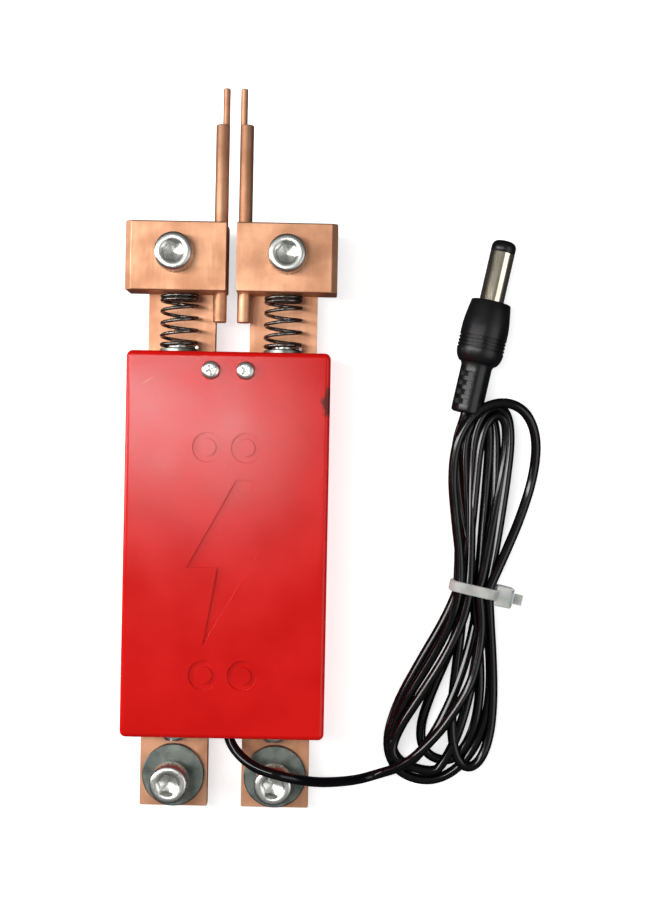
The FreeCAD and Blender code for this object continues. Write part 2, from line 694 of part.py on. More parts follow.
def build_bar(side, label):
    """Make a copper bar with the holes for its screws and pins."""
    body = new_body(label + "_bar")
    sketch = sketch_on(body, "XY_Plane", "bar_back")
    low, high = mirrored(side, BAR_INNER, BAR_OUTER)
    add_rectangle(sketch, low, high, BAR_FOOT, BLOCK_TOP)
    add_circle(sketch, sided(side, "screw_offset"), SCREW_RISE, SCREW_HOLE)
    add_circle(sketch, sided(side, "bar_offset"), TERMINAL_RISE, SCREW_HOLE)
    add_circle(sketch, sided(side, "stop_offset"), STOP_RISE, "stop_radius + fit")
    if side == LEFT:
        add_circle(sketch, "-post_offset", POST_RISE, "post_radius + fit")
    pad(body, sketch, "bar_thickness")
    bevel_edges(body, "bar_chamfer", lambda edge: runs_along(edge, "z"))
    return body


def build_clamp_block(side, label):
    """Make a split copper clamp with a channel for the electrode."""
    body = new_body(label + "_clamp_block")
    low, high = mirrored(side, "block_inner", "block_inner + block_width")
    sketch = sketch_on(body, "XY_Plane", BAR_FRONT)
    add_rectangle(sketch, low, high, "block_low", BLOCK_TOP)
    pad(body, sketch, "block_depth")
    outer = side * (size("block_inner") + size("block_width"))
    front = size("bar_back") + size("bar_thickness") + size("block_depth")
    bevel_edges(body, "block_bevel", lambda edge: runs_along(edge, "y")
                and abs(edge.BoundBox.Center.x - outer) < TINY and edge.BoundBox.ZMin > front - TINY)
    bevel_edges(body, "bar_chamfer", lambda edge: runs_along(edge, "x") or runs_along(edge, "z"))
    sketch = sketch_on(body, "XY_Plane", BLOCK_FRONT)
    add_circle(sketch, sided(side, "screw_offset"), SCREW_RISE, SCREW_HOLE)
    pocket(body, sketch, "block_depth")
    rod_fit = "(rod_radius + fit)"
    for reach, half in (("rod_offset", rod_fit), ("slit_reach", "slit_width / 2")):
        sketch = sketch_on(body, "XZ_Plane", "-(block_low)")
        low, high = mirrored(side, "block_inner - cut_over", reach)
        add_rectangle(sketch, low, high, "rod_height - " + half, "rod_height + " + half)
        pocket(body, sketch, "block_length")
    sketch = sketch_on(body, "XZ_Plane", "-(block_low)")
    add_circle(sketch, sided(side, "rod_offset"), "rod_height", rod_fit)
    pocket(body, sketch, "block_length")
    return body


def build_electrode(side, label):
    """Make a round electrode with a slim tip turned towards the other one."""
    body = plain_pin(label + "_electrode", "rod_radius", "rod_end - rod_foot",
                     (sided(side, "rod_offset"), "rod_foot", "rod_height"), ALONG_Y)
    sketch = sketch_on(body, "XY_Plane", "rod_end - rod_foot")
    add_circle(sketch, "%d * tip_offset" % -side, "0", "tip_radius")
    pad(body, sketch, "tip_end - rod_end")
    reach = size("tip_end") - 1e-3
    bevel_edges(body, "tip_chamfer", lambda edge: edge.BoundBox.YMin > reach)
    return body


def build_spring(side, label):
    """Make a compression spring between its seat and the clamp block."""
    foot = "(case_top + seat_thickness + fit + wire_radius)"
    rise = "(block_low - fit - wire_radius - %s)" % foot
    helix = doc.addObject("Part::Helix", label + "_coil_line")
    bind(helix, "Height", rise)
    bind(helix, "Pitch", rise + " / spring_turns")
    bind(helix, "Radius", "spring_radius")
    place(helix, (sided(side, "spring_offset"), foot, SPRING_HEIGHT), ALONG_Y)
    section = doc.addObject("Part::Circle", label + "_coil_section")
    bind(section, "Radius", "wire_radius")
    place(section, (sided(side, "spring_offset") + " + spring_radius", foot, SPRING_HEIGHT))
    spring = doc.addObject("Part::Sweep", label + "_spring")
    spring.Sections = [section]
    spring.Spine = (helix, [])
    spring.Solid = True
    spring.Frenet = True
    doc.recompute()
    return spring


def build_carrier(side, label):
    """Make everything that slides as one with a bar."""
    clamp_axis = (sided(side, "screw_offset"), SCREW_RISE)
    terminal_axis = (sided(side, "bar_offset"), TERMINAL_RISE)
    pieces = [
        build_bar(side, label),
        build_clamp_block(side, label),
        build_electrode(side, label),
        cap_screw(label + "_clamp_screw", clamp_axis + (BLOCK_FRONT,), BLOCK_FRONT + " - shank_end"),
        hex_nut(label + "_clamp_nut", clamp_axis + ("bar_back - nut_height",)),
        flat_ring(label + "_terminal_washer", "washer_radius", SCREW_HOLE, "washer_thickness",
                  terminal_axis + (BAR_FRONT,)),
        cap_screw(label + "_terminal_screw", terminal_axis + ("terminal_height",),
                  "terminal_height - shank_end"),
        hex_nut(label + "_terminal_nut", terminal_axis + ("bar_back - nut_height",)),
        plain_pin(label + "_stop_pin", "stop_radius", "stop_front - bar_back",
                  (sided(side, "stop_offset"), STOP_RISE, "bar_back")),
    ]
    if side == LEFT:
        pieces.append(plain_pin("trigger_post", "post_radius", "post_front - bar_back",
                                ("-post_offset", POST_RISE, "bar_back")))
    return pieces


def build_spring_seat(side, label):
    """Make the washer and screw that hold a spring in line."""
    axis = sided(side, "spring_offset")
    return [
        flat_ring(label + "_spring_washer", "spring_radius + seat_lip", "pan_shank + screw_play",
                  "seat_thickness", (axis, "case_top", SPRING_HEIGHT), ALONG_Y),
        pan_screw(label + "_seat_screw", (axis, "case_top + seat_thickness", SPRING_HEIGHT), ALONG_Y,
                  "pan_radius", "pan_height", "pan_shank", "pan_length"),
    ]


def build_case_fasteners():
    """Make the screws that hold the shells and guides together."""
    rear = [
        pan_screw("case_screw_%d" % number, ("0", rise, "case_screw_sink"), FACE_BACK,
                  "pan_radius", "pan_height", "pan_shank", "case_screw_length")
        for number, rise in enumerate(CASE_SCREW_RISES, start=1)
    ]
    base = [
        pan_screw(label + "_base_screw", (sided(side, "base_screw_offset"), CASE_FOOT, SPRING_HEIGHT),
                  AGAINST_Y, "pan_radius", "pan_height", "pan_shank", "pan_length")
        for side, label in SIDES
    ]
    front = [
        pan_screw(label + "_guide_screw", (sided(side, "small_offset"), SMALL_RISE, "case_depth"), UPRIGHT,
                  "small_radius", "small_height", "small_shank", "small_length", "small_recess")
        for side, label in SIDES
    ]
    return [group("case_screws", rear), group("base_screws", base), group("guide_screws", front)]


def build_switch():
    """Make the microswitch: body, terminals, pivot pin, lever and plunger."""
    middle = "(switch_back + switch_depth / 2)"
    foot = "(switch_top - switch_height)"
    body = new_body("switch_body")
    sketch = sketch_on(body, "XY_Plane", "switch_back")
    add_rectangle(sketch, "-switch_width / 2", "switch_width / 2", foot, "switch_top")
    for side in (LEFT, RIGHT):
        add_circle(sketch, sided(side, "peg_spacing / 2"), PEG_RISE, "peg_radius + fit")
    pad(body, sketch, "switch_depth")
    for low in ("switch_back", "switch_back + switch_depth - ear_thickness"):
        sketch = sketch_on(body, "XY_Plane", low)
        add_rectangle(sketch, "pivot_offset - 2 * pivot_radius", "pivot_offset + 2 * pivot_radius",
                      "switch_top - ear_root", PIVOT_RISE + " + 2 * pivot_radius")
        pad(body, sketch, "ear_thickness")
    sketch = sketch_on(body, "XY_Plane", "switch_back")
    add_circle(sketch, "pivot_offset", PIVOT_RISE, "pivot_radius + fit / 2")
    pocket(body, sketch, "switch_depth", along_normal=True)
    sketch = sketch_on(body, "XZ_Plane", "-(switch_top)")
    add_circle(sketch, "plunger_offset", middle, "plunger_radius + pin_play")
    pocket(body, sketch, "plunger_depth + plunger_travel + hole_spare", along_normal=True)
    blades = []
    for step in (-1, 0, 1):
        blade = doc.addObject("Part::Box", "blade_%d" % (step + 2))
        bind(blade, "Length", "blade_width")
        bind(blade, "Width", "blade_length")
        bind(blade, "Height", "blade_thickness")
        place(blade, ("%d * blade_spacing - blade_width / 2" % step, foot + " - blade_length",
                      middle + " - blade_thickness / 2"))
        blades.append(blade)
    pivot = turned("switch_pivot", (("0", "0"), ("pivot_radius", "0"), ("pivot_radius", "switch_depth"),
                                    ("0", "switch_depth")), ("pivot_offset", PIVOT_RISE, "switch_back"))
    plunger = plain_pin("switch_plunger", "plunger_radius", "plunger_depth + plunger_reach",
                        ("plunger_offset", "switch_top - plunger_depth", middle), ALONG_Y)
    return [body, group("switch_terminals", blades), pivot, plunger, build_lever(middle)]


def build_lever(middle):
    """Make the switch lever, lifted to where the trigger post rests on it."""
    lever = new_body("switch_lever")
    sketch = sketch_on(lever, "XY_Plane")
    add_rectangle(sketch, "-lever_reach", "0", "-lever_thickness / 2", "lever_thickness / 2")
    pad(lever, sketch, "lever_width")
    sketch = sketch_on(lever, "XY_Plane")
    add_circle(sketch, "0", "0", "eye_radius")
    pad(lever, sketch, "lever_width")
    sketch = sketch_on(lever, "XY_Plane")
    add_circle(sketch, "0", "0", "pivot_radius + pin_play")
    pocket(lever, sketch, "lever_width", along_normal=True)
    place(lever, ("pivot_offset", PIVOT_RISE, middle + " - lever_width / 2"),
          Rotation(Vector(0, 0, -1), 15))
    bind(lever, "Placement.Rotation.Angle", "atan(%s)" % LEVER_RISE)
    doc.recompute()
    return lever


def build_cord():
    """Make the cord bush, the free cord, its tied hank and the lead into the plug."""
    exit_spot = ("cord_exit_offset", CASE_FOOT, "cord_exit_height")
    bore = "cord_radius + fit"
    bush = turned("cord_bush", (
        (bore, "0"), ("bush_radius", "0"), ("bush_radius", "case_wall"), ("bush_collar", "case_wall"),
        ("bush_collar", "case_wall + bush_collar_length"), (bore, "case_wall + bush_collar_length"),
    ), exit_spot, ALONG_Y)
    inside = size("case_top") - size("case_length") + size("case_wall") + size("bush_collar_length")
    entry = (size("cord_exit_offset"), inside, size("cord_exit_height"))
    run = loose_shape("cord_run", tube_shape((entry,) + CORD_ROUTE, size("cord_radius")))
    tie = build_tie()
    outline = Part.BSplineCurve()
    corners = [Vector(across, along, size("fit")) for across, along in HANK_OUTLINE]
    outline.interpolate(corners, PeriodicFlag=True)
    face = Part.Face(Part.Wire(outline.toShape()))
    hank = loose_shape("cord_hank", face.extrude(Vector(0, 0, size("hank_height"))).cut(tie.Shape))
    tail_way = Rotation(Vector(0, 0, 1), PLUG_TURN).multVec(Vector(0, -1, 0))
    tail_start = Vector(*PLUG_END, size("plug_height"))
    tail = Part.makeCylinder(size("cord_radius"), TAIL_LENGTH, tail_start, tail_way)
    return [bush, run, tie, hank, loose_shape("cord_tail", tail)] + build_leads(entry)


def build_leads(entry):
    """Make the two thin leads from the cord to the switch terminals."""
    radius = size("lead_radius")
    solder = size("switch_top") - size("switch_height") - size("blade_length")
    height = size("switch_back") + size("switch_depth") / 2
    shapes = []
    for number, bends in enumerate(LEAD_BENDS):
        start = (entry[0] + (2 * number - 1) * size("lead_spacing"), entry[1], entry[2])
        end = ((1 - number) * size("blade_spacing"), solder, height)
        shapes.append(tube_shape((start,) + bends + (end,), radius))
    return [loose_shape("inner_leads", Part.makeCompound(shapes))]


def build_tie():
    """Make the cable tie: a strap round the hank, its head and its cut end."""
    reach = size("tie_inner_width") / 2
    thick = size("tie_thickness")
    width = size("tie_width")
    height = size("tie_inner_height") + 2 * thick
    strap = Part.makeBox(2 * (reach + thick), width, height, Vector(-reach - thick, -width / 2, 0))
    strap = strap.makeFillet(size("tie_corner"), [edge for edge in strap.Edges if runs_along(edge, "y")])
    strap = strap.cut(Part.makeBox(2 * reach, width, height - 2 * thick, Vector(-reach, -width / 2, thick)))
    head_length = size("tie_head_length")
    head = Part.makeBox(size("tie_head_width"), head_length, size("tie_head_height"),
                        Vector(reach + thick / 2, -head_length / 2, size("tie_head_rise")))
    tail = Part.makeBox(size("tie_tail_length") + size("tie_head_width"), width, thick,
                        Vector(reach + thick / 2, -width / 2, size("tie_tail_rise")))
    shape = strap.fuse([head, tail]).removeSplitter()
    tie = loose_shape("cable_tie", shape)
    tie.Placement = Placement(Vector(*TIE_CENTRE, size("fit")), Rotation(Vector(0, 0, 1), TIE_TURN))
    return tie


def build_plug():
    """Make the barrel plug in line behind its strain relief."""
    turn = Rotation(Vector(0, 0, 1), PLUG_TURN).multiply(ALONG_Y)

    def along(text):
        """Return a place on the plug's axis."""
        return ("%s + %.6f * (%s)" % (PLUG_END[0], math.sin(math.radians(-PLUG_TURN)), text),
                "%s + %.6f * (%s)" % (PLUG_END[1], math.cos(math.radians(PLUG_TURN)), text), "plug_height")

    slots = []
    groove = "relief_radius - relief_groove"
    for step in range(RELIEF_SLOTS):
        low = "(relief_collar + %d * 2 * relief_slot)" % step
        slots += [("relief_radius", low), (groove, low),
                  (groove, low + " + relief_slot"), ("relief_radius", low + " + relief_slot")]
    relief = turned("plug_relief", [("0", "0"), ("relief_radius", "0")] + slots
                    + [("relief_radius", "relief_length"), ("0", "relief_length")], along("0"), turn)
    housing = turned("plug_housing", (
        ("0", "0"), ("plug_rear_radius - shoulder_drop", "0"),
        ("plug_rear_radius - shoulder_drop / 4", "shoulder_length * 0.4"),
        ("plug_rear_radius", "shoulder_length"), ("plug_rear_radius", "plug_housing_length - nose_length"),
        ("plug_front_radius", "plug_housing_length - nose_edge"),
        ("plug_front_radius - nose_edge", "plug_housing_length"), ("0", "plug_housing_length"),
    ), along("relief_length"), turn)
    front = "(relief_length + plug_housing_length)"
    sleeve = "(plug_pin_length - plug_tip_length)"
    lining = "plug_pin_radius - barrel_wall"
    bore = "plug_bore_radius + contact_wall"
    barrel = flat_ring("plug_barrel", "plug_pin_radius", lining, sleeve, along(front), turn)
    liner = turned("plug_insulator", (
        (bore, "0"), (lining, "0"), (lining, sleeve),
        ("plug_pin_radius", sleeve), ("plug_pin_radius", "plug_pin_length - tip_round"),
        ("plug_pin_radius - tip_round", "plug_pin_length"), (bore, "plug_pin_length"),
    ), along(front), turn)
    contact = flat_ring("plug_contact", bore, "plug_bore_radius",
                        "plug_pin_length - contact_recess", along(front), turn)
    return [relief, housing, barrel, liner, contact]


def build_all():
    """Make every piece and return those that are nodes."""
    nodes = [build_rear_shell(), build_front_shell(), build_upper_guide(), build_lower_guide()]
    nodes += build_case_fasteners()
    for side, label in SIDES:
        nodes += build_spring_seat(side, label)
        nodes.append(build_spring(side, label))
        nodes += build_carrier(side, label)
    nodes += build_switch()
    nodes += build_cord()
    nodes += build_plug()
    return nodes


def write_nodes(nodes):
    """Check every object and write each node to its file."""
    doc.recompute()
    for item in doc.Objects:
        if "Invalid" in item.State or "Error" in item.State:
            raise ValueError("%s failed: %s" % (item.Label, item.State))
    os.makedirs("parts", exist_ok=True)
    for node in nodes:
        node.Label = node.Name
        if node.Shape.isNull() or not node.Shape.isValid() or not node.Shape.Solids:
            raise ValueError("%s has no sound solid" % node.Label)
        node.Shape.exportStep("parts/%s.step" % node.Label)
    print("%d nodes written" % len(nodes))


write_nodes(build_all())
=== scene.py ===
"""Looks of a hand-held spot welding pen, with its tied trigger lead and barrel plug.

Lengths are in metres. X runs across the pen, Y along it towards the electrode tips, and
Z out of the front of its case. The pen lies on the back of its case at Z = 0.
"""

import logging
import math
from collections.abc import Sequence
from dataclasses import dataclass
from enum import Enum

import bmesh
import bpy
from mathutils import Matrix, Vector


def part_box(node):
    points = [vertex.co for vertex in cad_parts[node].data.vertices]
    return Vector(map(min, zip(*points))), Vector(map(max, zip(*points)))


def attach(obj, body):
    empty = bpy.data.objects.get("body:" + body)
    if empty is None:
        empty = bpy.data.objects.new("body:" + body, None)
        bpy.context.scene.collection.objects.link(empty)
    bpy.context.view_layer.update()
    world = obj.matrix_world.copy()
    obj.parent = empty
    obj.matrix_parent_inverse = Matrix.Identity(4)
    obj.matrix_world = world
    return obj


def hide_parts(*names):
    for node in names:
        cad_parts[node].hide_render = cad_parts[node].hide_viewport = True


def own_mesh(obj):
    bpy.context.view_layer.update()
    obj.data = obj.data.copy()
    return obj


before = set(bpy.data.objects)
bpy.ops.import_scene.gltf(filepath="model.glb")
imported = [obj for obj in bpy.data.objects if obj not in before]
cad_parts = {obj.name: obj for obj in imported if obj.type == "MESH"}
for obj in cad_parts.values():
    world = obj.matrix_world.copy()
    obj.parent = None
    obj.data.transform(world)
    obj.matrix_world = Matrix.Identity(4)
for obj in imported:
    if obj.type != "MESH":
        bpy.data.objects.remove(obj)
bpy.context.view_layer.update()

MM = 0.001
UPRIGHT = Matrix.Identity(4)
ALONG_Y = Matrix.Rotation(math.radians(-90), 4, "X")
AGAINST_Y = Matrix.Rotation(math.radians(90), 4, "X")
FACE_BACK = Matrix.Rotation(math.radians(180), 4, "X")
SIDES = (("left", -1), ("right", 1))
EDGE_ANGLE = math.radians(30)
FLAT_ANGLE = math.radians(0.5)
SMOOTH_ANGLE = math.radians(38)

Colour = tuple[float, float, float]
Point = tuple[float, float, float]
Socket = bpy.types.NodeSocket
log = logging.getLogger("pen")


class Shader:
    """The node tree of one material, put together socket by socket."""

    def __init__(self, name: str) -> None:
        """Start a material with its Principled shader.

        Args:
            name: name of the material.
        """
        self.material = bpy.data.materials.new(name)
        self.material.use_nodes = True
        self.nodes = self.material.node_tree.nodes
        self.links = self.material.node_tree.links
        self.surface = self.nodes["Principled BSDF"]
        self.spot = self.nodes.new("ShaderNodeTexCoord").outputs["Object"]

    def put(self, **values: float | Colour) -> None:
        """Set constants on the shader.

        Args:
            values: socket names, with underscores for spaces, and their values.
        """
        for name, value in values.items():
            socket = self.surface.inputs[name.replace("_", " ").title().replace("Ior", "IOR")]
            socket.default_value = (*value, 1.0) if isinstance(value, tuple) and len(value) == 3 else value

    def feed(self, name: str, source: Socket) -> None:
        """Link a pattern to a socket of the shader."""
        self.links.new(source, self.surface.inputs[name])

    def mapped(self, scale: Point) -> Socket:
        """Return the object coordinates stretched by factors along X, Y and Z."""
        node = self.nodes.new("ShaderNodeMapping")
        node.inputs["Scale"].default_value = scale
        self.links.new(self.spot, node.inputs["Vector"])
        return node.outputs[0]

    def noise(self, scale: float, detail: float = 4.0, stretch: Point = (1, 1, 1)) -> Socket:
        """Make a cloudy pattern.

        Args:
            scale: patches per metre.
            detail: levels of finer patches.
            stretch: factors along X, Y and Z.

        Returns:
            The pattern, from 0 to 1.
        """
        node = self.nodes.new("ShaderNodeTexNoise")
        node.inputs["Scale"].default_value = scale
        node.inputs["Detail"].default_value = detail
        self.links.new(self.mapped(stretch), node.inputs["Vector"])
        return node.outputs["Fac"]

    def ramp(self, source: Socket, low: float, first: Colour, high: float, last: Colour) -> Socket:
        """Turn a pattern into a range of colours.

        Args:
            source: the pattern.
            low: value at which the first colour ends.
            first: colour below it.
            high: value at which the last colour starts.
            last: colour above it.

        Returns:
            The colour.
        """
        node = self.nodes.new("ShaderNodeValToRGB")
        stops = node.color_ramp.elements
        stops[0].position, stops[1].position = low, high
        stops[0].color, stops[1].color = (*first, 1), (*last, 1)
        self.links.new(source, node.inputs["Fac"])
        return node.outputs["Color"]

    def band(self, source: Socket, low: float, high: float, start: float = 0.3,
             stop: float = 0.7) -> Socket:
        """Map the part of a pattern from start to stop to low to high.

        Args:
            source: the pattern.
            low: result at start.
            high: result at stop.
            start: lowest pattern value used.
            stop: highest pattern value used.

        Returns:
            The mapped value.
        """
        node = self.nodes.new("ShaderNodeMapRange")
        for name, value in (("From Min", start), ("From Max", stop), ("To Min", low), ("To Max", high)):
            node.inputs[name].default_value = value
        self.links.new(source, node.inputs["Value"])
        return node.outputs[0]

    def ball(self, centre: Point, radii: Point, turn: float = 0.0) -> Socket:
        """Measure the distance from a point, in sizes of a stretched ball about it.

        Args:
            centre: middle of the ball.
            radii: its radii along its own X, Y and Z.
            turn: its turn about Z in degrees.

        Returns:
            0 at the centre and 1 on the ball.
        """
        mapping = self.nodes.new("ShaderNodeMapping")
        mapping.vector_type = "TEXTURE"
        mapping.inputs["Location"].default_value = centre
        mapping.inputs["Rotation"].default_value = (0, 0, math.radians(turn))
        mapping.inputs["Scale"].default_value = radii
        self.links.new(self.spot, mapping.inputs["Vector"])
        node = self.nodes.new("ShaderNodeVectorMath")
        node.operation = "LENGTH"
        self.links.new(mapping.outputs[0], node.inputs[0])
        return node.outputs["Value"]

    def join(self, first: Socket, second: Socket, operation: str = "ADD") -> Socket:
        """Combine two values.

        Args:
            first: first value.
            second: second value.
            operation: name of the Math operation.

        Returns:
            The result.
        """
        node = self.nodes.new("ShaderNodeMath")
        node.operation = operation
        self.links.new(first, node.inputs[0])
        self.links.new(second, node.inputs[1])
        return node.outputs[0]

    def mix(self, share: Socket, base: Socket, over: Colour) -> Socket:
        """Lay a colour over another.

        Args:
            share: how much of it shows.
            base: the colour below.
            over: the colour on top.

        Returns:
            The mixed colour.
        """
        node = self.nodes.new("ShaderNodeMix")
        node.data_type = "RGBA"
        self.links.new(share, node.inputs["Factor"])
        self.links.new(base, node.inputs[6])
        node.inputs[7].default_value = (*over, 1)
        return node.outputs[2]

    def bump(self, height: Socket, depth: float) -> None:
        """Raise the surface by a pattern.

        Args:
            height: the pattern.
            depth: its height in metres.
        """
        node = self.nodes.new("ShaderNodeBump")
        node.inputs["Distance"].default_value = depth
        self.links.new(height, node.inputs["Height"])
        self.feed("Normal", node.outputs["Normal"])


@dataclass(frozen=True)
class MetalFinish:
    """Bare or plated metal with patches of tarnish and fine tool marks."""

    slot: str
    bright: Colour
    dull: Colour
    patch: float
    marks: float
    stretch: Point
    rough: tuple[float, float]
    depth: float

    def make(self) -> bpy.types.Material:
        """Build the material and return it."""
        shader = Shader(self.slot)
        cloud = shader.noise(self.patch, detail=6.0)
        shader.feed("Base Color", shader.ramp(cloud, 0.36, self.dull, 0.62, self.bright))
        lines = shader.noise(self.marks, detail=3.0, stretch=self.stretch)
        grain = shader.join(lines, cloud, "MULTIPLY")
        shader.feed("Roughness", shader.band(grain, self.rough[1], self.rough[0], 0.12, 0.4))
        shader.bump(lines, self.depth)
        shader.put(metallic=1.0)
        return shader.material


@dataclass(frozen=True)
class MouldedFinish:
    """Moulded plastic, nylon or rubber with a fine grain."""

    slot: str
    colour: Colour
    shade: Colour
    grain: float
    depth: float
    rough: tuple[float, float]
    shine: float = 0.2

    def make(self) -> bpy.types.Material:
        """Build the material and return it."""
        shader = Shader(self.slot)
        cloud = shader.noise(220.0, detail=5.0)
        shader.feed("Base Color", shader.ramp(cloud, 0.35, self.shade, 0.65, self.colour))
        shader.feed("Roughness", shader.band(cloud, *self.rough))
        shader.bump(shader.noise(self.grain, detail=2.0), self.depth)
        shader.put(specular_ior_level=self.shine)
        return shader.material


@dataclass(frozen=True)
class CaseFinish:
    """Glossy red moulding with a dark spot on its right edge and a short scratch."""

    slot: str
    red: Colour = (0.70, 0.004, 0.0025)
    deep: Colour = (0.63, 0.0035, 0.002)
    # Near-black colour painted into a spot on the right edge of the case.
    dark_spot_colour: Colour = (0.045, 0.008, 0.006)
    pale: Colour = (0.75, 0.12, 0.09)
    dark_spot_centre: Point = (21.6 * MM, 10.6 * MM, 19.8 * MM)
    dark_spot_radii: Point = (1.5 * MM, 3.6 * MM, 3.0 * MM)
    scratch_spot: Point = (-17.3 * MM, 14.6 * MM, 20.5 * MM)
    scratch_size: Point = (1.7 * MM, 0.13 * MM, 1.0 * MM)
    scratch_turn: float = 32.0

    def make(self) -> bpy.types.Material:
        """Build the material and return it."""
        shader = Shader(self.slot)
        cloud = shader.noise(90.0, detail=5.0)
        base = shader.ramp(cloud, 0.35, self.deep, 0.65, self.red)
        ragged = shader.band(shader.noise(900.0), -0.35, 0.35, 0.2, 0.8)
        # Darkens a ragged patch on the right edge towards near black, blended by distance from its centre.
        dark_spot_share = shader.join(shader.ball(self.dark_spot_centre, self.dark_spot_radii), ragged)
        dark_spot_share = shader.band(dark_spot_share, 0.85, 0.0, 0.7, 1.1)
        cut = shader.ball(self.scratch_spot, self.scratch_size, self.scratch_turn)
        cut = shader.band(cut, 0.7, 0.0, 0.6, 1.0)
        shader.feed("Base Color", shader.mix(cut, shader.mix(dark_spot_share, base, self.dark_spot_colour), self.pale))
        shader.feed("Roughness", shader.band(cloud, 0.16, 0.24))
        grain = shader.join(shader.noise(2600.0, detail=2.0), shader.noise(60.0, detail=2.0))
        shader.bump(grain, 0.012 * MM)
        shader.put(specular_ior_level=0.3)
        return shader.material


@dataclass(frozen=True)
class MilkyFinish:
    """Natural nylon, cloudy and a little see-through."""

    slot: str
    colour: Colour = (0.83, 0.83, 0.80)
    shade: Colour = (0.62, 0.63, 0.60)

    def make(self) -> bpy.types.Material:
        """Build the material and return it."""
        shader = Shader(self.slot)
        cloud = shader.noise(400.0, detail=4.0)
        shader.feed("Base Color", shader.ramp(cloud, 0.35, self.shade, 0.65, self.colour))
        shader.feed("Roughness", shader.band(cloud, 0.28, 0.45))
        shader.bump(shader.noise(1800.0, detail=2.0), 0.01 * MM)
        shader.put(transmission_weight=0.3, subsurface_weight=0.35, subsurface_scale=0.8 * MM)
        return shader.material


BRUSHED_ALONG_Y = (1.0, 0.05, 1.0)
TURNED = (1.0, 1.0, 0.12)


class Finish(Enum):
    """Every finish of the pen."""

    COPPER = MetalFinish("copper", (0.80, 0.43, 0.26), (0.60, 0.30, 0.17), 130.0, 2600.0, BRUSHED_ALONG_Y,
                         (0.46, 0.6), 0.005 * MM)
    STEEL = MetalFinish("screw_steel", (0.80, 0.80, 0.76), (0.56, 0.56, 0.52), 420.0, 3200.0, TURNED,
                        (0.24, 0.42), 0.008 * MM)
    ZINC = MetalFinish("zinc_steel", (0.30, 0.33, 0.30), (0.13, 0.155, 0.14), 330.0, 2400.0, (1, 1, 1),
                       (0.34, 0.5), 0.01 * MM)
    SPRING = MetalFinish("spring_steel", (0.24, 0.22, 0.20), (0.08, 0.075, 0.07), 500.0, 2600.0, (1, 1, 1),
                         (0.18, 0.36), 0.004 * MM)
    NICKEL = MetalFinish("nickel", (0.88, 0.80, 0.62), (0.66, 0.60, 0.47), 160.0, 2800.0, BRUSHED_ALONG_Y,
                         (0.10, 0.22), 0.003 * MM)
    CASE = CaseFinish("case_red")
    GUIDE = MouldedFinish("nylon_black", (0.018, 0.018, 0.019), (0.010, 0.010, 0.011), 2400.0, 0.012 * MM,
                          (0.4, 0.6))
    SWITCH = MouldedFinish("switch_plastic", (0.016, 0.016, 0.018), (0.009, 0.009, 0.010), 3000.0, 0.006 * MM,
                           (0.35, 0.5))
    PLUNGER = MouldedFinish("plunger_plastic", (0.42, 0.05, 0.03), (0.30, 0.035, 0.02), 3000.0, 0.004 * MM,
                            (0.3, 0.45))
    CORD = MouldedFinish("cord_vinyl", (0.0024, 0.0020, 0.0028), (0.0015, 0.0015, 0.0019), 1700.0, 0.002 * MM,
                         (0.1, 0.18), 0.4)
    RUBBER = MouldedFinish("cord_rubber", (0.0045, 0.005, 0.005), (0.003, 0.0035, 0.0035), 1500.0, 0.008 * MM,
                           (0.22, 0.36), 0.4)
    PLUG = MouldedFinish("plug_plastic", (0.005, 0.0045, 0.0056), (0.003, 0.003, 0.0036), 1300.0, 0.015 * MM,
                         (0.28, 0.4), 0.4)
    TIE = MilkyFinish("tie_nylon")


MATERIALS: dict[Finish, bpy.types.Material] = {}


def material_of(finish: Finish) -> bpy.types.Material:
    """Return the material of a finish, made on first use."""
    if finish not in MATERIALS:
        MATERIALS[finish] = finish.value.make()
    return MATERIALS[finish]


class Outline(Enum):
    """Shape of a ring seen along the axis of its piece."""

    ROUND = "round"
    HEXAGON = "hexagon"
    CROSS = "cross"
    KNURL = "knurl"
    THREAD = "thread"
    WINDOW = "window"
    STRAP = "strap"


@dataclass(frozen=True)
class Ring:
    """One ring of a turned piece.

    The radius is half the size across flats of a hexagon, the arm of a cross, and half the
    width of a strap, whose half height is the limit. The limit caps a hexagon's corners.
    """

    radius: float
    height: float
    outline: Outline = Outline.ROUND
    shift: float = 0.0
    limit: float = math.inf

    CROSS_SHARE = 0.25
    KNURLS = 36
    KNURL_DEPTH = 0.16 * MM
    PITCH = 0.8 * MM
    THREAD_DEPTH = 0.35 * MM
    WINDOW_MIDDLE = math.radians(54)
    WINDOW_HALF = math.radians(27)
    WINDOW_DEPTH = 1.1 * MM
    STRAP_POWER = 5

    def reach(self, angle: float) -> float:
        """Return the distance from the axis to the ring at an angle.

        Args:
            angle: angle about the axis, in radians.

        Returns:
            The distance in metres.
        """
        across = max(abs(math.cos(angle)), 1e-6)
        along = max(abs(math.sin(angle)), 1e-6)
        sixth = math.pi / 3
        match self.outline:
            case Outline.HEXAGON:
                return min(self.radius / math.cos((angle + sixth / 2) % sixth - sixth / 2), self.limit)
            case Outline.CROSS:
                arm, half = self.radius, self.radius * self.CROSS_SHARE
                return max(min(arm / across, half / along), min(half / across, arm / along))
            case Outline.KNURL:
                return self.radius - self.KNURL_DEPTH * (0.5 + 0.5 * math.cos(self.KNURLS * angle))
            case Outline.THREAD:
                phase = (self.height / self.PITCH - angle / (2 * math.pi)) % 1
                return self.radius - self.THREAD_DEPTH * abs(2 * phase - 1)
            case Outline.WINDOW:
                away = (angle - self.WINDOW_MIDDLE + math.pi / 2) % math.pi - math.pi / 2
                return self.radius - (self.WINDOW_DEPTH if abs(away) < self.WINDOW_HALF else 0.0)
            case Outline.STRAP:
                power = self.STRAP_POWER
                return ((across / self.radius) ** power + (along / self.limit) ** power) ** (-1 / power)
        return self.radius


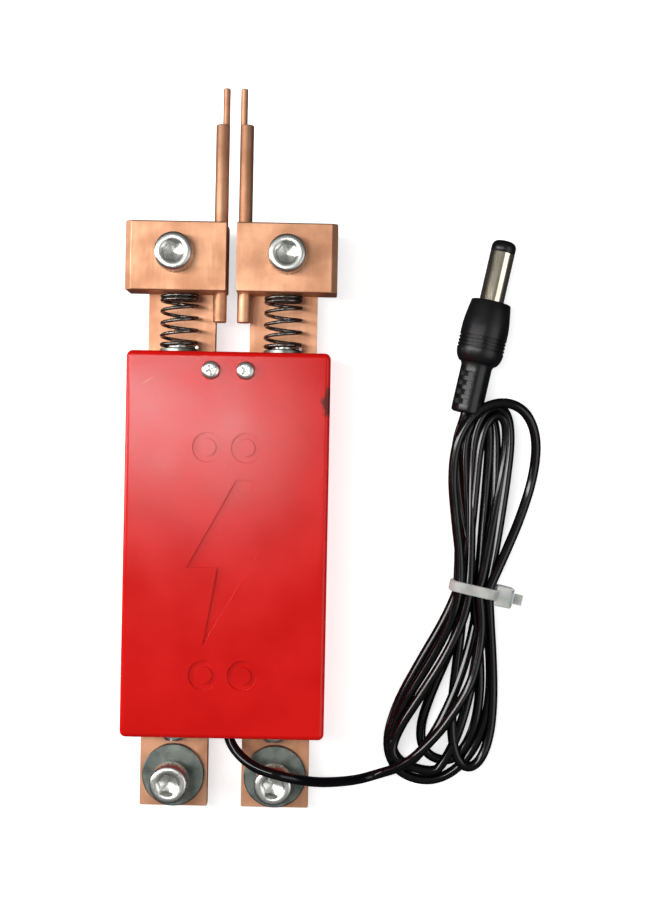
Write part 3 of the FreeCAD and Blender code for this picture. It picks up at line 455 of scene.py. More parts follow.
@dataclass(frozen=True)
class Turned:
    """A piece built up from rings along its own Z axis.

    The rings are in order along the surface, with the given number of corners each. In a
    hollow piece, such as a washer, the last ring joins the first.
    """

    rings: Sequence[Ring]
    segments: int = 72
    hollow: bool = False

    @staticmethod
    def shape(corners: Sequence[bmesh.types.BMVert], ring: Ring, shift: float) -> None:
        """Move the corners of a loop to a ring.

        Args:
            corners: the loop's corners.
            ring: where they go.
            shift: how far the loop's middle is from the axis until now.
        """
        for corner in corners:
            angle = math.atan2(corner.co.y, corner.co.x - shift)
            reach = ring.reach(angle)
            corner.co = (ring.shift + reach * math.cos(angle), reach * math.sin(angle), ring.height)

    def add(self, mesh: bmesh.types.BMesh, place: Matrix) -> None:
        """Add the piece to a mesh.

        Args:
            mesh: the mesh that takes it.
            place: where its axis goes.
        """
        corners = bmesh.ops.create_circle(mesh, segments=self.segments, radius=1.0)["verts"]
        edges = list(dict.fromkeys(edge for corner in corners for edge in corner.link_edges))
        first = edges
        made = list(corners)
        self.shape(corners, self.rings[0], 0.0)
        for before, ring in zip(self.rings, self.rings[1:]):
            grown = bmesh.ops.extrude_edge_only(mesh, edges=edges)["geom"]
            corners = [item for item in grown if isinstance(item, bmesh.types.BMVert)]
            fresh = set(corners)
            edges = [item for item in grown
                     if isinstance(item, bmesh.types.BMEdge) and fresh.issuperset(item.verts)]
            self.shape(corners, ring, before.shift)
            made += corners
        if self.hollow:
            bmesh.ops.bridge_loops(mesh, edges=first + edges)
        else:
            bmesh.ops.contextual_create(mesh, geom=first)
            bmesh.ops.contextual_create(mesh, geom=edges)
        bmesh.ops.transform(mesh, matrix=place, space=UPRIGHT, verts=made)


def middle(node: str) -> Vector:
    """Return the middle of a node's box."""
    low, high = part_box(node)
    return (Vector(low) + Vector(high)) / 2


def round_edges(mesh: bmesh.types.BMesh, edges: list[bmesh.types.BMEdge],
                radius: float) -> list[bmesh.types.BMFace]:
    """Round edges of a mesh and return the new faces."""
    return bmesh.ops.bevel(mesh, geom=edges, offset=radius, offset_type="OFFSET", segments=3, profile=0.5,
                           affect="EDGES", clamp_overlap=True, material=-1)["faces"]


def add_block(mesh: bmesh.types.BMesh, low: Point, high: Point, edge: float,
              place: Matrix) -> list[bmesh.types.BMFace]:
    """Add a block with rounded edges.

    Args:
        mesh: the mesh that takes it.
        low: its lowest corner.
        high: its highest corner.
        edge: radius of its edges.
        place: where it goes.

    Returns:
        Its faces.
    """
    size = Vector(high) - Vector(low)
    centre = (Vector(high) + Vector(low)) / 2
    matrix = place @ Matrix.Translation(centre) @ Matrix.Diagonal((*size, 1.0))
    corners = bmesh.ops.create_cube(mesh, size=1.0, matrix=matrix)["verts"]
    edges = list(dict.fromkeys(item for corner in corners for item in corner.link_edges))
    faces = list(dict.fromkeys(item for corner in corners for item in corner.link_faces))
    rounded = round_edges(mesh, edges, edge)
    return [face for face in faces if face.is_valid] + rounded


def settle(name: str, mesh: bmesh.types.BMesh, finish: Finish, body: str, node: str,
           flat: bool = False) -> bpy.types.Object:
    """Turn a mesh into a finished piece that rides on a body.

    Args:
        name: name of the piece.
        mesh: its mesh, which is used up.
        finish: its finish.
        body: the body that it rides on.
        node: the node that it stands for.
        flat: whether its large faces are to look flat beside their rounded edges.

    Returns:
        The piece.
    """
    bmesh.ops.remove_doubles(mesh, verts=mesh.verts, dist=0.0005 * MM)
    bmesh.ops.recalc_face_normals(mesh, faces=mesh.faces)
    data = bpy.data.meshes.new(name)
    mesh.to_mesh(data)
    mesh.free()
    data.shade_smooth()
    data.set_sharp_from_angle(angle=SMOOTH_ANGLE)
    data.materials.append(material_of(finish))
    piece = bpy.data.objects.new(name, data)
    bpy.context.scene.collection.objects.link(piece)
    if flat:
        piece.modifiers.new("flat_faces", "WEIGHTED_NORMAL").keep_sharp = True
    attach(piece, body)
    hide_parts(node)
    log.info("%s: %d faces on %s", name, len(data.polygons), body)
    return piece


def soften(prefix: str, node: str, edge: float, finish: Finish, body: str) -> None:
    """Make a copy of a node with rounded edges in place of the node.

    Args:
        prefix: start of the piece's name, before that of the node.
        node: name of the node.
        edge: radius of the edges.
        finish: its finish.
        body: the body that it rides on.
    """
    mesh = bmesh.new()
    mesh.from_mesh(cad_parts[node].data)
    bmesh.ops.remove_doubles(mesh, verts=mesh.verts, dist=0.001 * MM)
    bmesh.ops.dissolve_limit(mesh, angle_limit=FLAT_ANGLE, verts=mesh.verts, edges=mesh.edges)
    edges = [item for item in mesh.edges if len(item.link_faces) == 2 and item.calc_face_angle() > EDGE_ANGLE]
    round_edges(mesh, edges, edge)
    settle(prefix + node, mesh, finish, body, node, flat=True)


def turn_piece(name: str, rings: Sequence[Ring], places: Sequence[Matrix], finish: Finish, body: str,
               node: str, segments: int = 72, hollow: bool = False) -> bpy.types.Object:
    """Make a piece of one or more turned shapes.

    Args:
        name: name of the piece.
        rings: the rings of each shape.
        places: where the shapes go.
        finish: its finish.
        body: the body that it rides on.
        node: the node that it stands for.
        segments: corners of each ring.
        hollow: whether the last ring joins the first, as in a washer.

    Returns:
        The piece.
    """
    mesh = bmesh.new()
    for place in places:
        Turned(rings, segments, hollow).add(mesh, place)
    return settle(name, mesh, finish, body, node)


def dress(node: str, finish: Finish) -> None:
    """Give a carried-over node its finish.

    Args:
        node: name of the node.
        finish: its finish.
    """
    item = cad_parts[node]
    if not item.material_slots:
        item.data.materials.append(None)
    for slot in item.material_slots:
        slot.material = material_of(finish)
    log.info("%s dressed in %s", node, finish.name.lower())


@dataclass
class Studio:
    """Camera, floor and light."""

    eye: Point = (22.2 * MM, 0.43 * MM, 345 * MM)
    turn: float = 1.11
    lens: float = 60.4
    film_height: float = 36.0
    floor_reach: float = 3.0

    def build(self) -> None:
        """Set up the camera, the floor and the light."""
        self.set_camera()
        self.set_floor()
        self.set_light()

    def set_camera(self) -> None:
        """Look straight down at the pen."""
        data = bpy.data.cameras.new("camera")
        data.lens = self.lens
        data.sensor_fit = "VERTICAL"
        data.sensor_height = self.film_height
        data.clip_start = 0.01
        camera = bpy.data.objects.new("camera", data)
        camera.location = self.eye
        camera.rotation_euler = (0, 0, math.radians(self.turn))
        bpy.context.scene.collection.objects.link(camera)
        bpy.context.scene.camera = camera
        bpy.context.scene.view_settings.view_transform = "Standard"

    def set_floor(self) -> None:
        """Lay a pale floor under the pen."""
        mesh = bmesh.new()
        bmesh.ops.create_grid(mesh, x_segments=8, y_segments=8, size=self.floor_reach)
        data = bpy.data.meshes.new("floor")
        mesh.to_mesh(data)
        mesh.free()
        shader = Shader("floor_paper")
        cloud = shader.noise(30.0, detail=3.0)
        shader.feed("Base Color", shader.ramp(cloud, 0.3, (0.90, 0.90, 0.90), 0.7, (0.93, 0.93, 0.93)))
        shader.put(roughness=0.9, specular_ior_level=0.0, emission_color=(1.0, 1.0, 1.0),
                   emission_strength=0.62)
        data.materials.append(shader.material)
        floor = bpy.data.objects.new("floor", data)
        floor.visible_glossy = False
        bpy.context.scene.collection.objects.link(floor)

    def set_light(self) -> None:
        """Light the pen from the upper left, in a dim room."""
        lamps = (
            ("key", (-250 * MM, 60 * MM, 330 * MM), (640 * MM, 60 * MM), 1.9),
            ("rim", (-480 * MM, 0, 70 * MM), (420 * MM, 60 * MM), 0.6),
            ("fill", (330 * MM, -60 * MM, 300 * MM), (320 * MM, 320 * MM), 0.5),
        )
        for name, spot, (length, width), power in lamps:
            data = bpy.data.lights.new(name, "AREA")
            data.shape = "RECTANGLE"
            data.size, data.size_y = width, length
            data.energy = power
            lamp = bpy.data.objects.new(name, data)
            lamp.location = spot
            aim = Vector((15 * MM, 0, 0)) - Vector(spot)
            lamp.rotation_euler = aim.to_track_quat("-Z", "Y").to_euler()
            bpy.context.scene.collection.objects.link(lamp)
        world = bpy.data.worlds.new("room")
        world.use_nodes = True
        nodes, links = world.node_tree.nodes, world.node_tree.links
        way = nodes.new("ShaderNodeTexCoord")
        split = nodes.new("ShaderNodeSeparateXYZ")
        ramp = nodes.new("ShaderNodeValToRGB")
        stops = ramp.color_ramp.elements
        stops[0].position, stops[0].color = 0.05, (0.04, 0.04, 0.045, 1)
        stops[1].position, stops[1].color = 0.9, (0.22, 0.22, 0.22, 1)
        links.new(way.outputs["Generated"], split.inputs[0])
        links.new(split.outputs["Z"], ramp.inputs["Fac"])
        links.new(ramp.outputs["Color"], nodes["Background"].inputs["Color"])
        bpy.context.scene.world = world


@dataclass(frozen=True)
class Grip:
    """A strand's place in the cable tie: across from its middle, and above the floor."""

    across: float
    height: float


@dataclass(frozen=True)
class Loop:
    """One loop of the hank, from the tie and back to it.

    A positive reach goes up its right side and down its left, a negative one down its left
    side and up its right. The lean is that of its far end, and a higher bend keeps it upright
    for longer. The spreads are those of its left and right sides, and the tapers tell how
    slowly they open. A higher blunt makes a rounder end. The rests are heights of its left
    side, far end and right side.
    """

    grip: Grip
    reach: float
    lean: float
    bend: float
    spreads: tuple[float, float]
    tapers: tuple[float, float]
    blunt: float
    rests: tuple[float, float, float]

    STEPS = 14
    GRIP_POWER = 1.5

    def points(self, tie: Point, last: Grip) -> list[Vector]:
        """Return the points of the loop, from its grip to just before the next.

        Args:
            tie: middle of the cable tie on the floor.
            last: grip that the loop ends in.

        Returns:
            The points.
        """
        angles = [2 * math.pi * step / self.STEPS for step in range(1, self.STEPS)]
        if self.reach > 0:
            angles.reverse()
        result = [Vector((tie[0] + self.grip.across, tie[1], self.grip.height))]
        for index, angle in enumerate(angles, start=1):
            along = (1 - math.cos(angle)) / 2
            side = 0 if angle < math.pi else 1
            width = self.spreads[side] * along ** self.tapers[side] * math.sqrt(1 - along ** self.blunt)
            held = (1 - along) ** self.GRIP_POWER
            grip = self.grip if 2 * index < self.STEPS else last
            edge = self.rests[2 * side]
            rest = edge + (self.rests[1] - edge) * max(0.0, -math.cos(angle))
            result.append(Vector((
                tie[0] + self.lean * along ** self.bend + (2 * side - 1) * width + grip.across * held,
                tie[1] + self.reach * along,
                rest + (grip.height - rest) * held,
            )))
        return result


@dataclass
class Lead:
    """The trigger lead: its way out of the case, its tied hank and its end in the plug."""

    diameter: float = 2.2 * MM
    tie: Point = (55.1 * MM, -30.4 * MM, 0.0)
    low: float = 2.05 * MM
    mid: float = 4.1 * MM
    top: float = 6.15 * MM
    outer: float = 3.4 * MM
    inner: float = 1.15 * MM
    length: float = 1.03

    START = (1.2, -59.2, 16.0)
    EXIT = (1.2, -62.2, 16.0)
    ROUTE = (
        (3.4, -65.6, 17.4), (7.4, -68.0, 20.6), (11.8, -69.2, 22.0), (16.4, -70.6, 20.0),
        (21.0, -72.1, 15.4), (25.8, -73.2, 9.4), (30.2, -73.7, 4.2), (34.2, -72.9, 2.4), (38.8, -70.8, 4.8),
        (42.2, -68.2, 6.6), (45.1, -65.2, 7.0), (48.6, -61.2, 7.0), (51.6, -56.8, 7.0), (54.6, -51.4, 6.8),
        (56.2, -45.4, 6.6), (57.0, -38.0, 6.3),
    )
    TAIL = ((54.2, -22.0, 3.4), (52.4, -14.0, 2.3), (51.2, -6.0, 2.1), (50.8, 0.4, 2.6), (51.2, 4.4, 3.8),
            (52.3, 8.4, 5.3), (53.2, 12.2, 5.4))

    def loops(self) -> list[Loop]:
        """Return the loops of the hank in the order in which the lead runs through them."""
        low, mid, top = self.low, self.mid, self.top
        outer, inner, centre = self.outer, self.inner, 2 * self.inner
        one, half, two, deep, three, peak = (height * MM for height in (1.15, 2.65, 3.35, 4.85, 5.6, 7.0))
        wide, slim = (1.5, 1.15), (1.2, 0.75)
        table = (
            (inner, top, 39.4, 4.9, 1.0, (4.1, 3.7), slim, 8.0, (half, two, one)),
            (-centre, mid, -40.4, -0.2, 1.0, (9.5, 10.4), wide, 1.6, (two, half, one)),
            (outer, top, 42.1, 5.8, 1.0, (26.5, 24.5), wide, 1.0, (three, peak, one)),
            (-outer, top, -41.4, -8.7, 1.0, (34.6, 10.5), (2.0, 1.15), 1.1, (half, half, two)),
            (outer, low, 40.0, 2.6, 1.0, (8.3, 3.4), slim, 6.0, (one, one, half)),
            (-outer, low, -43.8, -9.6, 1.0, (32.7, 26.6), wide, 1.0, (one, one, one)),
            (centre, mid, 41.2, 4.7, 1.0, (6.2, 4.8), (1.2, 0.5), 7.0, (one, two, half)),
            (-inner, top, -39.2, -14.4, 1.6, (10.6, 3.9), (1.55, 1.0), 4.0, (deep, deep, deep)),
            (inner, low, 38.6, 1.9, 1.0, (5.6, 2.0), slim, 8.0, (half, half, one)),
            (-inner, low, -39.2, -5.5, 1.0, (20.0, 14.0), (2.0, 1.15), 1.3, (one, one, one)),
        )
        return [
            Loop(Grip(across, height), reach * MM, lean * MM, bend,
                 (spreads[0] * MM, spreads[1] * MM), tapers, blunt, rests)
            for across, height, reach, lean, bend, spreads, tapers, blunt, rests in table
        ]

    def points(self) -> list[Vector]:
        """Return the control points of the whole lead, set out so that the curve meets its path."""
        path = [Vector(spot) * MM for spot in (self.START, self.EXIT) + self.ROUTE]
        loops = self.loops()
        grips = [loop.grip for loop in loops[1:]] + [Grip(0.0, self.mid)]
        for loop, last in zip(loops, grips):
            path += loop.points(self.tie, last)
        path.append(Vector((self.tie[0], self.tie[1], self.mid)))
        path += [Vector(spot) * MM for spot in self.TAIL]
        inside = [here + (2 * here - before - after) / 8
                  for before, here, after in zip(path, path[1:], path[2:])]
        return [path[0], *inside, path[-1]]

    def build(self) -> bpy.types.Object:
        """Make the lead as one curve and return it."""
        data = bpy.data.curves.new("trigger_lead", "CURVE")
        data.dimensions = "3D"
        data.bevel_depth = self.diameter / 2
        data.bevel_resolution = 5
        data.resolution_u = 6
        data.use_fill_caps = True
        spline = data.splines.new("NURBS")
        points = self.points()
        spline.points.add(len(points) - 1)
        for knot, spot in zip(spline.points, points):
            knot.co = (*spot, 1.0)
        spline.order_u = 3
        spline.use_endpoint_u = True
        data.materials.append(material_of(Finish.CORD))
        lead = bpy.data.objects.new("trigger_lead", data)
        bpy.context.scene.collection.objects.link(lead)
        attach(lead, "case")
        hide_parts("cord_run", "cord_hank", "cord_tail")
        log.info("trigger_lead: %d points on case", len(points))
        return lead


@dataclass
class CableTie:
    """The nylon tie round the hank: strap, locking head and cut end."""

    centre: Point = (55.1 * MM, -30.4 * MM, 0.0)
    turn: float = -12.0
    width: float = 2.4 * MM
    thickness: float = 0.9 * MM
    half_across: float = 4.5 * MM
    half_height: float = 3.2 * MM
    edge: float = 0.2 * MM
    head: Point = (4.0 * MM, 4.6 * MM, 5.1 * MM)
    head_rise: float = 1.3 * MM
    head_edge: float = 0.4 * MM
    slot_rim: float = 0.8 * MM
    slot_depth: float = 0.9 * MM
    tail_length: float = 2.4 * MM
    tail_rise: float = 3.4 * MM
    ribs: int = 5
    rib: Point = (0.22 * MM, 0.3, 0.05 * MM)

    def build(self) -> bpy.types.Object:
        """Make the tie and return it."""
        mesh = bmesh.new()
        place = Matrix.Translation(self.centre) @ Matrix.Rotation(math.radians(self.turn), 4, "Z")
        self.add_strap(mesh, place)
        self.add_head(mesh, place)
        return settle("nylon_tie", mesh, Finish.TIE, "case", "cable_tie")

    def add_strap(self, mesh: bmesh.types.BMesh, place: Matrix) -> None:
        """Add the strap.

        Args:
            mesh: the mesh that takes it.
            place: where the tie goes.
        """
        half, edge, thick = self.width / 2, self.edge, self.thickness
        spans = ((0, -half + edge), (edge, -half), (thick - edge, -half), (thick, -half + edge),
                 (thick, half - edge), (thick - edge, half), (edge, half), (0, half - edge))
        rings = [
            Ring(self.half_across + out, height, Outline.STRAP, limit=self.half_height + out)
            for out, height in spans
        ]
        lift = Matrix.Translation((0, 0, self.half_height + thick + 0.02 * MM))
        Turned(rings, segments=96, hollow=True).add(mesh, place @ lift @ ALONG_Y)

    def add_head(self, mesh: bmesh.types.BMesh, place: Matrix) -> None:
        """Add the locking head with its slot, and the cut end.

        Args:
            mesh: the mesh that takes them.
            place: where the tie goes.
        """
        near = self.half_across + self.thickness / 2
        half = self.head[1] / 2
        faces = add_block(mesh, (near, -half, self.head_rise),
                          (near + self.head[0], half, self.head_rise + self.head[2]), self.head_edge, place)
        roof = max(faces, key=lambda face: (face.normal.z * face.calc_area()))
        bmesh.ops.inset_region(mesh, faces=[roof], thickness=self.slot_rim)
        floor = bmesh.ops.extrude_discrete_faces(mesh, faces=[roof])["faces"]
        bmesh.ops.translate(mesh, verts=floor[0].verts, vec=(0, 0, -self.slot_depth))
        add_block(mesh, (near, -self.width / 2, self.tail_rise),
                  (near + self.head[0] + self.tail_length, self.width / 2, self.tail_rise + self.thickness),
                  self.edge, place)
        long, share, edge = self.rib
        for step in range(self.ribs):
            start = near + self.head[0] + self.edge + step * self.tail_length / self.ribs
            add_block(mesh, (start, -self.width * share, self.tail_rise + self.thickness * 0.8),
                      (start + long, self.width * share, self.tail_rise + self.thickness * 1.15), edge, place)


@dataclass
class Plug:
    """The barrel plug: strain relief, housing, metal barrel and insulating tip."""

    relief_length: float = 11.3 * MM
    housing_length: float = 14.3 * MM
    relief_radius: float = 3.5 * MM
    rear_radius: float = 5.3 * MM
    front_radius: float = 4.5 * MM
    barrel_radius: float = 2.75 * MM
    sleeve_length: float = 11.4 * MM
    barrel_length: float = 14.0 * MM
    bore: float = 1.35 * MM
    windows: int = 4
    window_pitch: float = 2.1 * MM

    def axis(self, distance: float) -> Matrix:
        """Return a place on the plug's axis.

        Args:
            distance: distance from the cord end of the relief.

        Returns:
            The place, with its Z axis towards the tip and its Y axis up.
        """
        relief, barrel = middle("plug_relief"), middle("plug_barrel")
        way = (barrel - relief).normalized()
        up = Vector((0, 0, 1))
        across = up.cross(way)
        start = relief + way * (distance - self.relief_length / 2)
        matrix = Matrix((across, up, way)).transposed().to_4x4()
        matrix.translation = start
        return matrix

    def build(self) -> list[bpy.types.Object]:
        """Make the plug and return its pieces."""
        front = self.relief_length + self.housing_length
        dress("plug_contact", Finish.COPPER)
        table = (
            ("strain_relief", self.relief_rings(), 0.0, Finish.RUBBER, "plug_relief", False),
            ("plug_body", self.housing_rings(), self.relief_length, Finish.PLUG, "plug_housing", False),
            ("plug_sleeve", self.sleeve_rings(), front, Finish.NICKEL, "plug_barrel", True),
            ("plug_tip", self.tip_rings(), front, Finish.PLUG, "plug_insulator", True),
        )
        pieces = [
            turn_piece(name, rings, [self.axis(distance)], finish, "case", node, 96, hollow)
            for name, rings, distance, finish, node, hollow in table
        ]
        return [*pieces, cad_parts["plug_contact"]]

    def relief_rings(self) -> list[Ring]:
        """Return the rings of the strain relief, with its rows of windows."""
        radius, slip = self.relief_radius, 0.06 * MM
        rings = [Ring(1.15 * MM, 0.0), Ring(radius - 0.5 * MM, 0.0), Ring(radius - 0.1 * MM, 0.25 * MM),
                 Ring(radius, 0.6 * MM)]
        for step in range(self.windows):
            low = 1.7 * MM + step * self.window_pitch
            high = low + 1.15 * MM
            rings += [Ring(radius, low), Ring(radius, low + slip, Outline.WINDOW),
                      Ring(radius, high, Outline.WINDOW), Ring(radius, high + slip)]
        return rings + [Ring(radius, self.relief_length - 0.6 * MM),
                        Ring(radius + 0.25 * MM, self.relief_length)]

    def housing_rings(self) -> list[Ring]:
        """Return the rings of the housing, with its shoulder, fine grooves and taper."""
        rear, front, length = self.rear_radius, self.front_radius, self.housing_length
        shoulder = ((1.5, 0.0), (0.98, 0.3), (0.55, 0.9), (0.25, 1.6), (0.08, 2.3), (0.0, 2.9))
        rings = [Ring(rear - 1.9 * MM, 0.0)] + [Ring(rear - drop * MM, rise * MM) for drop, rise in shoulder]
        for step in range(4):
            low = 3.2 * MM + step * 0.8 * MM
            rings += [Ring(rear, low), Ring(rear - 0.2 * MM, low + 0.1 * MM),
                      Ring(rear - 0.2 * MM, low + 0.34 * MM), Ring(rear, low + 0.44 * MM)]
        slope = ((0.0, 8.0), (0.06, 9.0), (0.22, 10.4), (0.46, 12.0))
        rings += [Ring(rear - drop * MM, rise * MM) for drop, rise in slope]
        rings += [Ring(front, length - 0.35 * MM), Ring(front - 0.12 * MM, length - 0.08 * MM),
                  Ring(front - 0.4 * MM, length), Ring(self.barrel_radius, length)]
        return rings

    def sleeve_rings(self) -> list[Ring]:
        """Return the rings of the metal sleeve."""
        radius, length = self.barrel_radius, self.sleeve_length
        inner = radius - 0.5 * MM
        return [Ring(inner, -0.4 * MM), Ring(radius, -0.4 * MM), Ring(radius, 0.4 * MM),
                Ring(radius, length - 0.12 * MM), Ring(radius - 0.1 * MM, length), Ring(inner, length)]

    def tip_rings(self) -> list[Ring]:
        """Return the rings of the insulating tip, with its round end and bore."""
        radius, inner = self.barrel_radius, self.barrel_radius - 0.5 * MM
        start, end = self.sleeve_length, self.barrel_length
        dome = ((0.0, 1.35), (0.08, 0.95), (0.28, 0.55), (0.6, 0.24), (0.98, 0.05), (1.2, 0.0))
        rings = [Ring(self.bore, 0.4 * MM), Ring(inner - 0.05 * MM, 0.4 * MM), Ring(inner - 0.05 * MM, start),
                 Ring(radius - 0.06 * MM, start + 0.02 * MM), Ring(radius, start + 0.1 * MM)]
        rings += [Ring(radius - drop * MM, end - below * MM) for drop, below in dome]
        return rings + [Ring(self.bore, end - 0.15 * MM)]


def washer_rings(outer: float, bore: float, thickness: float) -> list[Ring]:
    """Return the rings of a flat washer.

    Args:
        outer: its outer radius.
        bore: its inner radius.
        thickness: its thickness.

    Returns:
        The rings, in order round its section.
    """
    edge = thickness * 0.14
    return [Ring(bore, edge), Ring(bore + edge, 0.0), Ring(outer - edge, 0.0), Ring(outer, edge),
            Ring(outer, thickness - edge), Ring(outer - edge, thickness), Ring(bore + edge, thickness),
            Ring(bore, thickness - edge)]


@dataclass(frozen=True)
class PanScrew:
    """A pan head screw with a cross recess. Its radii are those of its head and shank."""

    head: float = 2.4 * MM
    height: float = 1.8 * MM
    shank: float = 1.3 * MM
    recess: float = 0.9 * MM

    DOME = ((1.0, 0.12), (1.0, 0.5), (0.95, 0.7), (0.84, 0.86), (0.68, 0.97), (0.6, 1.0))

    def rings(self, length: float) -> list[Ring]:
        """Return its rings, with the underside of its head at height 0.

        Args:
            length: length of its shank.

        Returns:
            The rings.
        """
        head, height = self.head, self.height
        rings = [Ring(0.1 * MM, -length), Ring(self.shank, self.shank - length), Ring(self.shank, 0.0),
                 Ring(head * 0.95, 0.0)]
        rings += [Ring(head * across, height * up) for across, up in self.DOME]
        return rings + [Ring(head * 0.56, height, Outline.CROSS),
                        Ring(head * 0.5, height - self.recess * 0.8, Outline.CROSS),
                        Ring(head * 0.12, height - self.recess)]

    def fit(self, node: str, spots: Sequence[Matrix], length: float) -> None:
        """Make one or more such screws of the case in place of a node."""
        turn_piece("pan_" + node, self.rings(length), spots, Finish.STEEL, "case", node, 96)


@dataclass
class Screws:
    """Socket cap screws and hexagon nuts of the carriers."""

    head_height: float = 5.0 * MM
    head_radius: float = 4.25 * MM
    shank: float = 2.5 * MM
    key: float = 2.0 * MM
    key_depth: float = 2.6 * MM
    nut_half: float = 4.0 * MM
    turn: float = math.radians(19)

    def cap_rings(self, length: float) -> list[Ring]:
        """Return the rings of a socket cap screw.

        Args:
            length: length of its shank.

        Returns:
            The rings, with the underside of the head at height 0.
        """
        turns = 8
        step = Ring.PITCH / turns
        count = int((length - 1.2 * MM) / step)
        thread = [Ring(self.shank, -length + 0.4 * MM + step * index, Outline.THREAD)
                  for index in range(count)]
        head, top = self.head_radius, self.head_height
        rings = [Ring(self.shank - 0.75 * MM, -length), Ring(self.shank - 0.4 * MM, -length + 0.2 * MM)]
        rings += thread + [Ring(self.shank, -0.5 * MM), Ring(self.shank, 0.0)]
        rings += [Ring(head - 0.35 * MM, 0.0), Ring(head - 0.12 * MM, 0.18 * MM),
                  Ring(head, 0.35 * MM, Outline.KNURL), Ring(head, top - 1.15 * MM, Outline.KNURL)]
        crown = ((0.14, 0.85), (0.2, 0.5), (0.42, 0.18), (0.75, 0.0))
        rings += [Ring(head - inward * MM, top - below * MM) for inward, below in crown]
        key, floor = self.key, top - self.key_depth
        rings += [Ring(key * 1.32, top), Ring(key * 1.2, top - 0.14 * MM),
                  Ring(key, top - 0.35 * MM, Outline.HEXAGON), Ring(key, floor, Outline.HEXAGON),
                  Ring(key * 0.9, floor - 0.1 * MM), Ring(0.1 * MM, floor - 0.7 * MM)]
        return rings

    def nut_rings(self, height: float) -> list[Ring]:
        """Return the rings of a hexagon nut.

        Args:
            height: its height.

        Returns:
            The rings, in order round its section.
        """
        flat, cap = self.nut_half, self.nut_half * 1.03
        bore, mouth = self.shank + 0.05 * MM, self.shank + 0.35 * MM
        return [Ring(bore, 0.3 * MM), Ring(mouth, 0.0), Ring(flat, 0.0, Outline.HEXAGON, limit=cap),
                Ring(flat, 0.35 * MM, Outline.HEXAGON), Ring(flat, height - 0.35 * MM, Outline.HEXAGON),
                Ring(flat, height, Outline.HEXAGON, limit=cap), Ring(mouth, height),
                Ring(bore, height - 0.3 * MM)]

    def cap_screw(self, node: str, body: str) -> None:
        """Make a socket cap screw in place of its node.

        Args:
            node: name of the node.
            body: the body that it rides on.
        """
        low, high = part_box(node)
        seat = high[2] - self.head_height
        centre = middle(node)
        place = Matrix.Translation((centre.x, centre.y, seat)) @ Matrix.Rotation(self.turn, 4, "Z")
        turn_piece("socket_" + node, self.cap_rings(seat - low[2]), [place], Finish.STEEL, body, node, 144)

    def nut(self, node: str, body: str) -> None:
        """Make a nut in place of its node.

        Args:
            node: name of the node.
            body: the body that it rides on.
        """
        low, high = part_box(node)
        centre = middle(node)
        place = Matrix.Translation((centre.x, centre.y, low[2]))
        turn_piece("hexagon_" + node, self.nut_rings(high[2] - low[2]), [place], Finish.STEEL, body, node,
                   hollow=True)


@dataclass
class Case:
    """The red case with its screws, its guides and the switch inside it."""

    edge: float = 0.14 * MM
    guide_edge: float = 0.2 * MM
    large: PanScrew = PanScrew()
    small: PanScrew = PanScrew(2.0 * MM, 1.3 * MM, 1.0 * MM, 0.63 * MM)
    small_turns: tuple[float, float] = (0.3, 0.9)

    def build(self) -> None:
        """Make the case and dress what it holds."""
        for node in ("front_shell", "rear_shell"):
            soften("moulded_", node, self.edge, Finish.CASE, "case")
        self.add_screws()
        for node in ("upper_guide", "lower_guide"):
            soften("cut_", node, self.guide_edge, Finish.GUIDE, "case")
        inside = (
            ("cord_bush", Finish.RUBBER), ("inner_leads", Finish.CORD), ("switch_body", Finish.SWITCH),
            ("switch_terminals", Finish.NICKEL), ("switch_pivot", Finish.STEEL),
            ("switch_lever", Finish.NICKEL), ("switch_plunger", Finish.PLUNGER),
        )
        for node, finish in inside:
            dress(node, finish)

    def add_screws(self) -> None:
        """Make the pan head screws of the case."""
        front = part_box("front_shell")
        low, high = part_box("guide_screws")
        rise = (low[1] + high[1]) / 2
        seats = (low[0] + self.small.head, high[0] - self.small.head)
        spots = [Matrix.Translation((across, rise, front[1][2])) @ Matrix.Rotation(turn, 4, "Z")
                 for across, turn in zip(seats, self.small_turns)]
        self.small.fit("guide_screws", spots, front[1][2] - low[2])
        low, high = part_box("base_screws")
        seats = (low[0] + self.large.head, high[0] - self.large.head)
        spots = [Matrix.Translation((across, front[0][1], (low[2] + high[2]) / 2)) @ AGAINST_Y
                 for across in seats]
        self.large.fit("base_screws", spots, high[1] - front[0][1])
        low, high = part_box("case_screws")
        seat = low[2] + self.large.height
        rises = (low[1] + self.large.head, (low[1] + high[1]) / 2, high[1] - self.large.head)
        spots = [Matrix.Translation((0, rise, seat)) @ FACE_BACK for rise in rises]
        self.large.fit("case_screws", spots, high[2] - seat)


